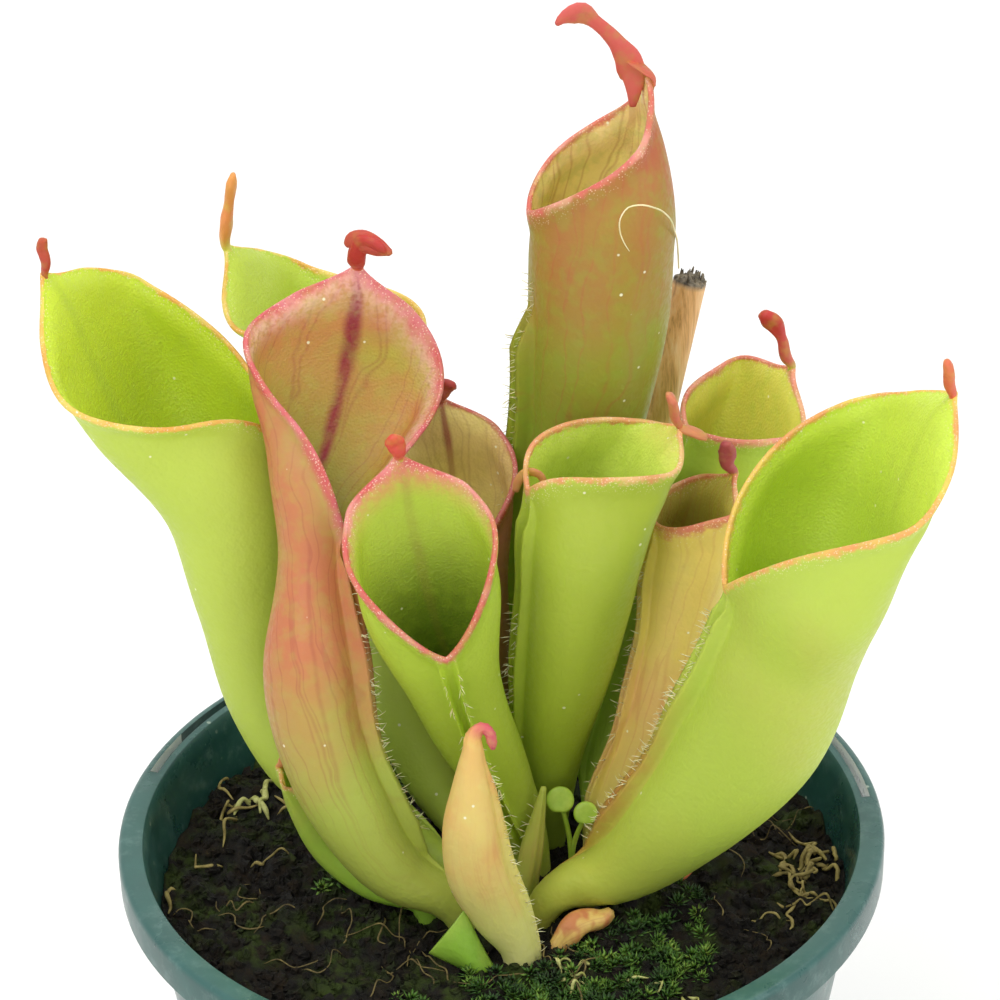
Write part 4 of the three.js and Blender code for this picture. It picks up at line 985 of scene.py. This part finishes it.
def bump_at(angle, centre, width):
    """A bump of height 1 round a bearing."""
    gap = np.abs((angle - centre + math.pi) % (2 * math.pi) - math.pi)
    return np.exp(-((gap / width) ** 2))


build_small("young_pitcher", 56, 80,
            lambda t, a: 1 + 0.16 * bump_at(a, 0.0, 0.16) * min(1, max(0, (0.8 - t) / 0.1))
            + 0.02 * np.sin(3 * a + 9 * t) - 0.07 * bump_at(a, -0.35, 0.12)
            + 0.1 * np.sin(7 * a + 150 * t) * (t > 0.85),
            hood=lambda t, a: np.full_like(a, np.clip((t - 0.87) / 0.05, 0, 1)))
build_small("small_shoot", 32, 40,
            lambda t, a: 1 + 0.15 * bump_at(a, -1.4, 0.25) - 0.2 * bump_at(a, -0.8, 0.3))
build_small("faded_leaf", 36, 44,
            lambda t, a: 1 + 0.1 * np.sin(3 * a + 7 * t) + 0.07 * np.sin(17 * t + a))


def rod_bed(rows, low, high, bearing):
    """A narrow bed up one side of a rod, for its hairs."""
    at, _, knots = path_through(rows)
    size = smooth_table([(k, row[3]) for k, row in zip(knots, rows)])
    out = np.array([math.cos(bearing), math.sin(bearing), 0])
    beside = np.array([-out[1], out[0], 0])
    points = []
    for t in np.linspace(low, high, 40):
        crest = at(t) + out * size(t)[0] * 1.1
        points += [crest - beside * 0.4, crest + beside * 0.4]
    return bed_mesh(points, ribbon(0, len(points)))


for name, low, high, bearing in (("young_pitcher", 0.12, 0.8, -0.2), ("small_shoot", 0.3, 0.95, 3.3)):
    fringe = scatter(name + "_hairs", rod_bed(SMALL[name], low, high, bearing), hair, FINISH["hair"],
                     per_square_metre=2e6, smallest=0.7, largest=1.7, lean=0.6, seed=9)
    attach(fringe, "root")


def build_folded_leaf():
    """The small folded leaf in front: a thin three-cornered blade on a short foot."""
    foot = np.array([-1.2, -20.9, 77.6])
    tip, top = np.array([-10.8, -22, 83.2]), np.array([-5.6, -20.9, 89.8])
    far_edge = 0.45 * tip + 0.55 * top
    skin = Skin(*LEAF_MARKS)
    rings = []
    w = np.linspace(0, 1, 15)
    for u in np.concatenate([np.linspace(0.02, 0.9, 24), [0.94, 0.97, 0.99, 1.0]]):
        middle = foot + (far_edge - foot) * u
        flat = middle + np.outer(w - 0.5, top - tip) * (0.25 + 0.75 * u**1.3)
        flat[:, 1] -= 1.5 * np.sin(math.pi * w) * np.sin(math.pi * min(1, 0.15 + 0.75 * u))
        thick = 1.1 * (1 - 0.75 * u**6) * (0.35 + 0.65 * np.sin(math.pi * (0.06 + 0.88 * w)))
        push = np.zeros_like(flat)
        push[:, 1] = thick / 2
        outline = np.concatenate([flat - push, (flat + push)[::-1]])
        rings.append(skin.ring(outline, along=0.2 + 0.7 * u, edge=6, round=0.5))
    skin.tube(rings)
    skin.cap(rings[0], foot, False, along=0.2, edge=6)
    skin.cap(rings[-1], far_edge, True, along=0.9, edge=6)
    plant(skin.piece("small_leaf_front_leaf", LEAF_FINISHES["small_leaf_front"]), "small_leaf_front")


build_folded_leaf()


def build_seedling():
    """Two stalks, each with a round leaf."""
    skin = Skin()
    for stalk in (
        [(10, 1.5, 79, 0.42), (10, 1.5, 84, 0.4), (9.4, 1.6, 89, 0.36), (8.6, 1.4, 92.4, 0.3)],
        [(10, 1.5, 80, 0.42), (10.4, 1.3, 85, 0.4), (11.4, 0.8, 88.6, 0.36), (12.2, 0.4, 90.6, 0.3)],
    ):
        add_rod(skin, stalk, 10, 16)
    # Both leaves slope the same way; the section through one is (share of its radius, height)
    long_way = unit(np.array([0.1, 0.82, 1.6]))
    across = unit(np.array([1.0, 0, 0]) - long_way[0] * long_way)
    up = np.cross(across, long_way)
    angle = turns(40)
    outline = 1 - 0.12 * bump_at(angle, math.pi * 1.5, 0.4)
    section = (
        (0.15, -0.2), (0.5, -0.26), (0.8, -0.26), (0.97, -0.14), (1, 0),
        (0.97, 0.16), (0.82, 0.3), (0.5, 0.36), (0.15, 0.36),
    )
    for x, y, z, radius in ((8.6, 1.6, 92.8, 2.0), (12.2, 0.7, 91, 1.75)):
        centre = np.array([x, y, z])
        rings = []
        for share, height in section:
            reach = outline * share * radius
            wide, tall = (np.cos(angle) * reach)[:, None], (np.sin(angle) * reach)[:, None]
            lift = up * (height + 0.15 * share**2)
            rings.append(skin.ring(centre + across * wide + long_way * tall + lift))
        skin.cap(rings[0], centre - up * 0.2, False)
        skin.tube(rings)
        skin.cap(rings[-1], centre + up * 0.36, True)
    plant(skin.piece("seedling_leaves", FINISH["seedling"]), "seedling")


build_seedling()


# Pot

def mouth_radius_at(z):
    """The pot's inner radius at a height."""
    share = (z - POT_FLOOR) / (POT_HEIGHT - POT_FLOOR)
    return POT_FLOOR_RADIUS + share * (POT_MOUTH_RADIUS - POT_FLOOR_RADIUS)


def round_ring(radius, z, sides, centre=(0, 0)):
    angle = turns(sides)
    x, y = centre[0] + radius * np.cos(angle), centre[1] + radius * np.sin(angle)
    return np.stack([x, y, np.full(sides, float(z))], -1)


def build_pot():
    """The pot turned from a profile: up the outside, round the skirt and rim, down the inside."""
    under_rim = POT_HEIGHT - RIM_THICKNESS
    skirt_inside = POT_RIM_RADIUS - SKIRT_WALL
    low = POT_HEIGHT - SKIRT_DROP
    foot = POT_FLOOR_RADIUS + POT_WALL
    profile = [(0.01, 0), (foot - 3, 0), (foot - 0.9, 0), (foot - 0.3, 0.25), (foot, 0.8)]
    profile += [(mouth_radius_at(z) + POT_WALL, z) for z in np.linspace(4, under_rim - 0.6, 12)]
    profile += [
        (mouth_radius_at(under_rim) + POT_WALL + 0.3, under_rim), (skirt_inside - 0.3, under_rim),
        (skirt_inside, under_rim - 0.3), (skirt_inside, under_rim - LIT_DEPTH), (skirt_inside, low + 0.2),
        (skirt_inside + 0.2, low), (POT_RIM_RADIUS - 0.3, low), (POT_RIM_RADIUS - 0.1, low + 0.2),
        (POT_RIM_RADIUS - 0.02, POT_HEIGHT - 1.1),
        (POT_RIM_RADIUS - 0.15, POT_HEIGHT - 0.5), (POT_RIM_RADIUS - 0.45, POT_HEIGHT - 0.14),
        (POT_RIM_RADIUS - 0.9, POT_HEIGHT), (POT_MOUTH_RADIUS + 0.7, POT_HEIGHT),
        (POT_MOUTH_RADIUS + 0.3, POT_HEIGHT - 0.1), (POT_MOUTH_RADIUS + 0.05, POT_HEIGHT - 0.5),
    ]
    profile += [(mouth_radius_at(z), z) for z in np.linspace(POT_HEIGHT - 3, POT_FLOOR + 1, 14)]
    profile += [(POT_FLOOR_RADIUS - 0.6, POT_FLOOR), (POT_FLOOR_RADIUS - 3, POT_FLOOR), (0.01, POT_FLOOR)]
    skin = Skin("top")
    rings = []
    for radius, z in profile:
        # The faces on the rim's top are marked to carry the painted highlight of the pot's finish
        on_top = z > POT_HEIGHT - 0.6 and radius > POT_MOUTH_RADIUS
        rings.append(skin.ring(round_ring(radius, z, 160), top=float(on_top)))
    skin.cap(rings[0], [0, 0, 0], False)
    skin.tube(rings)
    skin.cap(rings[-1], [0, 0, POT_FLOOR], True)
    body = skin.piece("pot_shell", FINISH["pot"])
    cutters = [slot_cutter(start) for start in SLOT_STARTS] + [drain_cutter(k) for k in range(DRAINS)]
    for cutter in cutters:
        cut = body.modifiers.new("cut", "BOOLEAN")
        cut.operation, cut.solver, cut.object = "DIFFERENCE", "EXACT", cutter
    graph = bpy.context.evaluated_depsgraph_get()
    mesh = bpy.data.meshes.new_from_object(body.evaluated_get(graph), depsgraph=graph)
    body.modifiers.clear()
    for old in (body, *cutters):
        bpy.data.objects.remove(old)
    # The strips of skirt behind the slots get a painted highlight: a pale colour that stands in for light
    # seen through the slots
    pale = []
    for face in mesh.polygons:
        radius = math.hypot(face.center.x, face.center.y) * 1000
        bearing = math.degrees(math.atan2(face.center.y, face.center.x)) % 360
        in_arc = any(first < bearing < last for first, last in LIT_ARCS)
        on_skirt = abs(face.normal.z) < 0.5 and skirt_inside - 0.2 < radius < skirt_inside + 0.1
        pale.append(float(in_arc and on_skirt and face.center.z * 1000 > under_rim - LIT_DEPTH))
    mesh.attributes.new("slot", "FLOAT", "FACE").data.foreach_set("value", pale)
    pot = show("nursery_pot", mesh, FINISH["pot"])
    mesh.set_sharp_from_angle(angle=math.radians(35))
    plant(pot, "pot")


def drain_cutter(k):
    """A plug for one of the drain holes in the floor."""
    a = 2 * math.pi * k / DRAINS
    centre = (DRAIN_RING * math.cos(a), DRAIN_RING * math.sin(a))
    skin = Skin()
    rings = [skin.ring(round_ring(DRAIN_RADIUS, z, 24, centre)) for z in (-3, 5)]
    skin.cap(rings[0], (*centre, -3), False)
    skin.tube(rings)
    skin.cap(rings[1], (*centre, 5), True)
    return skin.piece("drain", None)


def slot_cutter(start):
    """An arc-shaped block for one of the hanger slots in the rim."""
    inner = POT_MOUTH_RADIUS + POT_WALL + 0.15
    outer = POT_RIM_RADIUS - SKIRT_WALL - 0.15
    low, high = POT_HEIGHT - 3.5, POT_HEIGHT + 2.5
    corners = ((inner, low), (inner, high), (outer, high), (outer, low))
    skin = Skin()
    rings = []
    for bearing in np.radians(np.linspace(start, start + SLOT_ARC, 25)):
        rings.append(skin.ring([(r * math.cos(bearing), r * math.sin(bearing), z) for r, z in corners]))
    skin.tube(rings)
    skin.faces += [tuple(rings[0][::-1]), tuple(rings[-1])]
    return skin.piece("slot", None)


build_pot()


# Peat, moss and litter

BIG_WAVE, SMALL_WAVE, EDGE_DROP, ROUGHNESS, CLOT = 0.9, 0.4, 0.6, 1.1, 1.6


def lumps(x, y, size):
    """Smooth waves, the same as in the solid."""
    a = np.sin(x / size + 1.3 * np.sin((y / size) * 0.8 + 0.5))
    b = np.sin((y / size) * 1.3 + 1.1 * np.sin((x / size) * 0.9 + 2.1))
    c = np.sin((x + y) / (size * 0.55) + 0.7) * 0.5
    return (a * b + c) / 1.5


def soil_height(x, y):
    """The top of the peat: the solid's waves with fine roughness and clots."""
    x, y = np.asarray(x, float), np.asarray(y, float)
    edge = np.clip((np.hypot(x, y) - 20) / 26, 0, 1)
    waves = lumps(x, y, 4.6) * BIG_WAVE + lumps(x + 9, y - 4, 2.3) * SMALL_WAVE
    rough = [noise.fractal(Vector((px / 3.1, py / 3.1, 4.2)), 0.7, 2.1, 5) for px, py in zip(x, y)]
    clots = [noise.noise(Vector((px / 5.2, py / 5.2, 9.1))) for px, py in zip(x, y)]
    fine = np.array(rough) * ROUGHNESS + np.maximum(0, np.array(clots)) * CLOT
    return SOIL_HEIGHT + waves - edge * EDGE_DROP + fine


SOIL_EDGE = 49.3
# Patches of moss: x, y, reach
MOSS_PATCHES = [
    (13.5, -21, 6), (6, -26, 6), (-1, -28, 5), (19.4, -16, 5), (24, -12, 4), (25.5, -20, 5),
    (28, -6, 3), (14, -30, 6), (20, -25, 6), (3, -36, 6), (-26, -2, 2.5), (-14, -34, 5),
    (26, 22, 6), (-20, 30, 6), (8, 36, 5),
]


def moss_cover(x, y):
    """How much moss grows at a spot, from 0 to 1."""
    cover = np.zeros_like(x)
    for px, py, reach in MOSS_PATCHES:
        cover = np.maximum(cover, np.exp(-(((x - px) ** 2 + (y - py) ** 2) / reach**2)))
    patchy = np.array([0.5 + noise.noise(Vector((a / 2.4, b / 2.4, 1.0))) for a, b in zip(x, y)])
    return np.clip((cover - 0.25) * 1.6, 0, 1) * np.clip(patchy * 1.5, 0, 1)


def build_soil():
    """The peat as rings: up its side, then in from the edge to the middle."""
    around = 240
    angle = turns(around)
    flat = np.stack([np.cos(angle), np.sin(angle)], -1)
    bottom = POT_FLOOR + FIT_GAP
    foot = mouth_radius_at(bottom) - FIT_GAP
    edge_z = soil_height(SOIL_EDGE * flat[:, 0], SOIL_EDGE * flat[:, 1])
    edge_r = mouth_radius_at(edge_z) - 0.1
    skin = Skin("cover")
    rings = []
    for share in (0, 0.5, 0.9, 0.97, 1):
        z = bottom + (edge_z - bottom) * share
        rings.append(skin.ring(np.column_stack([flat * (foot + (edge_r - foot) * share)[:, None], z])))
    for radius in np.linspace(SOIL_EDGE - 0.3, 1, 92):
        x, y = flat[:, 0] * radius, flat[:, 1] * radius
        rings.append(skin.ring(np.column_stack([x, y, soil_height(x, y)]), cover=moss_cover(x, y)))
    skin.cap(rings[0], [0, 0, bottom], False)
    skin.tube(rings)
    skin.cap(rings[-1], [0, 0, soil_height([0], [0])[0]], True)
    plant(skin.piece("peat_surface", FINISH["peat"]), "soil")


def top_bed(cover_of):
    """The top of the peat as a bed to scatter on; cover_of(x, y) says how thick the scatter is."""
    steps = np.linspace(-49, 49, 120)
    x, y = np.meshgrid(steps, steps, indexing="ij")
    keep = np.hypot(x, y) < SOIL_EDGE - 0.1
    index = -np.ones(x.shape, int)
    index[keep] = np.arange(keep.sum())
    px, py = x[keep], y[keep]
    faces = []
    for i in range(len(steps) - 1):
        for j in range(len(steps) - 1):
            corners = (index[i, j], index[i + 1, j], index[i + 1, j + 1], index[i, j + 1])
            if min(corners) >= 0:
                faces.append(tuple(int(c) for c in corners))
    return bed_mesh(np.column_stack([px, py, soil_height(px, py)]), faces, cover_of(px, py))


build_soil()
clod, star = clod_seed(), moss_seed()
crumb_bed = top_bed(lambda x, y: 1 - 0.6 * moss_cover(x, y))
litter = [
    scatter("peat_crumbs", crumb_bed, clod, FINISH["clods"],
            per_square_metre=5.6e5, smallest=0.6, largest=2.6, lean=3.0, seed=3, soft=False),
    scatter("moss_stars", top_bed(moss_cover), star, FINISH["moss"],
            per_square_metre=5.4e5, smallest=1.2, largest=2.4, lean=0.5, seed=5),
]
REACH = 48.5


def strands(name, finish, spots, count, length, thickness, wiggle, seed):
    """Thin strands of roots or dry moss that lie on the peat, thrown round a few spots."""
    dice = np.random.default_rng(seed)
    skin = Skin()
    for _ in range(count):
        px, py, reach = spots[dice.integers(len(spots))]
        x, y = px + dice.normal(0, reach), py + dice.normal(0, reach)
        heading, rows = dice.uniform(0, 2 * math.pi), []
        pieces = int(dice.integers(5, 9))
        for k in range(pieces):
            if math.hypot(x, y) > REACH:
                x, y = x * REACH / math.hypot(x, y), y * REACH / math.hypot(x, y)
            ground = float(soil_height([x], [y])[0])
            hop = 0.5 + abs(dice.normal(0, 0.9)) * math.sin(math.pi * k / (pieces - 1))
            wide = thickness * (0.5 + dice.uniform(0.3, 0.9)) * (0.4 if k in (0, pieces - 1) else 1)
            rows.append((x, y, ground + hop, wide, wide * 0.7))
            heading += dice.normal(0, wiggle)
            stride = length / pieces * dice.uniform(0.6, 1.4)
            x, y = x + stride * math.cos(heading), y + stride * math.sin(heading)
        add_rod(skin, rows, 6, 22)
    litter.append(skin.piece(name, FINISH[finish]))


# Name, finish, spots (x, y, reach), count, length, thickness, wiggle, seed
for row in (
    ("dry_moss_right", "dry moss", [(42, 2, 2.2), (45, 0, 1.6), (40, -1, 1.5)], 18, 8, 0.32, 1.2, 11),
    ("dry_moss_low", "dry moss", [(41, -8.5, 1.5), (44, -10, 1.2)], 8, 7, 0.22, 1.1, 12),
    ("dry_moss_left", "dry moss", [(-35, 20, 2), (-40, 22, 3), (-42, 6, 4), (-38, -4, 3)],
     9, 9, 0.26, 0.9, 13),
    ("dry_moss_front", "pale sprig", [(21, -27, 2.2), (24, -26.5, 1.6), (9, -25, 1)], 9, 6, 0.2, 1.1, 17),
    ("green_sprig_left", "pale sprig", [(-35, 20, 1.6)], 4, 8, 0.4, 0.5, 18),
    ("fine_roots_front", "fine roots", [(-14, -16, 3), (-12, -24, 3), (-20, -16, 3), (8, -24, 3)],
     18, 12, 0.11, 0.6, 14),
    ("fine_roots_side", "fine roots",
     [(-40, 0, 5), (-36, -12, 5), (30, -14, 5), (40, 8, 5), (0, 38, 8), (-20, 30, 8)],
     24, 11, 0.1, 0.7, 15),
):
    strands(*row)
for seed_piece in (hair, clod, star):
    bpy.data.objects.remove(seed_piece)

curl = Skin()
add_rod(curl, [(25.2, -1.6, 80.5, 0.9, 0.3), (26.4, -0.9, 81.6, 1.3, 0.35), (28.2, 0.2, 83.4, 1.2, 0.35),
               (28.8, 0.9, 85.4, 0.9, 0.3), (28.4, 1.3, 86.8, 0.4, 0.2)], 14, 24)
litter.append(curl.piece("orange_curl", FINISH["orange curl"]))
for piece in litter:
    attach(piece, "root")


# Stake

def build_stake():
    """The cane with its joints, and a tuft of splinters on its cut end."""
    skin = Skin("cut")
    rows = []
    for k in range(61):
        t = k / 60
        joint = sum(math.exp(-(((t - at) / 0.012) ** 2)) for at in STAKE_JOINTS)
        below = sum(math.exp(-(((t - at + 0.02) / 0.012) ** 2)) for at in STAKE_JOINTS)
        spot = [a + (b - a) * t for a, b in zip(STAKE_FOOT, STAKE_TOP)]
        rows.append((*spot, STAKE_RADIUS + 0.28 * joint - 0.12 * below))
    add_rod(skin, rows, 36, 120, lambda t, a: 1 + 0.012 * np.sin(9 * a + 4 * t) + 0.01 * np.sin(23 * a),
            cut=lambda t, a: np.full_like(a, float(t > 0.995)))
    way = unit(np.array(STAKE_TOP, float) - np.array(STAKE_FOOT))
    side = unit(np.cross(way, [0, 1, 0]))
    over = np.cross(side, way)
    dice = np.random.default_rng(21)
    for _ in range(46):
        a, r = dice.uniform(0, 2 * math.pi), STAKE_RADIUS * math.sqrt(dice.uniform(0.05, 0.88))
        base = np.array(STAKE_TOP) + side * r * math.cos(a) + over * r * math.sin(a) - way * 0.4
        tall = dice.uniform(0.3, 1.5)
        tip = base + way * (0.4 + tall) + side * dice.normal(0, 0.15) + over * dice.normal(0, 0.15)
        width = dice.uniform(0.14, 0.34)
        middle = base + (tip - base) * 0.6
        add_rod(skin, [(*base, width), (*middle, width * 0.9), (*tip, width * 0.4)], 5, 4, cut=1)
    plant(skin.piece("cane", FINISH["cane"]), "bamboo_stake")


build_stake()

fibre = Skin()
add_rod(fibre, [
    (27.2, 34, 161.5, 0.13), (26.9, 30, 166.4, 0.13), (26.1, 22, 173.4, 0.13), (24.9, 17, 178.4, 0.13),
    (23, 14, 181.2, 0.12), (21, 13, 182.2, 0.12), (19.3, 12.5, 182.1, 0.11), (18.3, 12.5, 180.6, 0.1),
    (18.2, 13, 178.3, 0.09), (18.8, 13.5, 176.2, 0.08), (19.5, 14, 174.7, 0.06),
], 6, 60)
stray = fibre.piece("stray_fibre", FINISH["hair"])
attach(stray, "root")

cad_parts["root_stock"].data.materials.clear()
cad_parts["root_stock"].data.materials.append(FINISH["root"])


# Room, light and camera

def build_room():
    """A white floor that curves up into a back wall, in metres."""
    half = 1.6
    profile = [(-1.2, 0), (0.9, 0), (1.1, 0.02), (1.25, 0.09), (1.34, 0.22), (1.36, 0.5), (1.36, 2.0)]
    corners = [(x, y, z) for y, z in profile for x in (-half, half)]
    mesh = bpy.data.meshes.new("sweep")
    mesh.from_pydata(corners, [], ribbon(0, len(corners)))
    white = clouded_finish("white sweep", 0.9, 3, 2, (0.3, "f6f6f4"), (0.7, "fbfbfa"))
    sweep = show("sweep", mesh, white)
    mesh.polygons.foreach_set("use_smooth", [True] * len(mesh.polygons))


def add_light(name, place, size, power, aim=(0, 0, 0.12)):
    """A square soft light: place and size in metres, power in watts."""
    lamp = bpy.data.lights.new(name, "AREA")
    lamp.shape, lamp.size, lamp.energy = "SQUARE", size, power
    holder = put(name, lamp)
    holder.location = place
    holder.rotation_euler = (Vector(aim) - Vector(place)).to_track_quat("-Z", "Y").to_euler()


build_room()
add_light("key", (-0.5, -0.7, 1.1), 0.9, 7.5)
add_light("fill", (0.9, -0.6, 0.6), 0.9, 3.5)
add_light("top", (0.1, 0.3, 1.3), 1.0, 5)
world = bpy.data.worlds.new("white room")
world.use_nodes = True
background = world.node_tree.nodes["Background"]
background.inputs["Color"].default_value = (1, 1, 1, 1)
background.inputs["Strength"].default_value = 0.75
bpy.context.scene.world = world

TILT, ROLL, DISTANCE = math.radians(30.5), math.radians(-1.4), 0.6
AIM = Vector((0.001, 0, 0.144))
SENSOR, FOCAL_LENGTH = 36, 157.14
lens = bpy.data.cameras.new("camera")
lens.sensor_width, lens.lens, lens.clip_start = SENSOR, FOCAL_LENGTH, 0.02
camera = put("camera", lens)
away = Vector((0, -math.cos(TILT), math.sin(TILT)))
right, above = Vector((1, 0, 0)), Vector((0, math.sin(TILT), math.cos(TILT)))
x_axis = right * math.cos(ROLL) + above * math.sin(ROLL)
y_axis = above * math.cos(ROLL) - right * math.sin(ROLL)
camera.matrix_world = Matrix((x_axis, y_axis, away)).transposed().to_4x4()
camera.location = AIM + away * DISTANCE
bpy.context.scene.camera = camera
bpy.context.scene.view_settings.view_transform = "Standard"
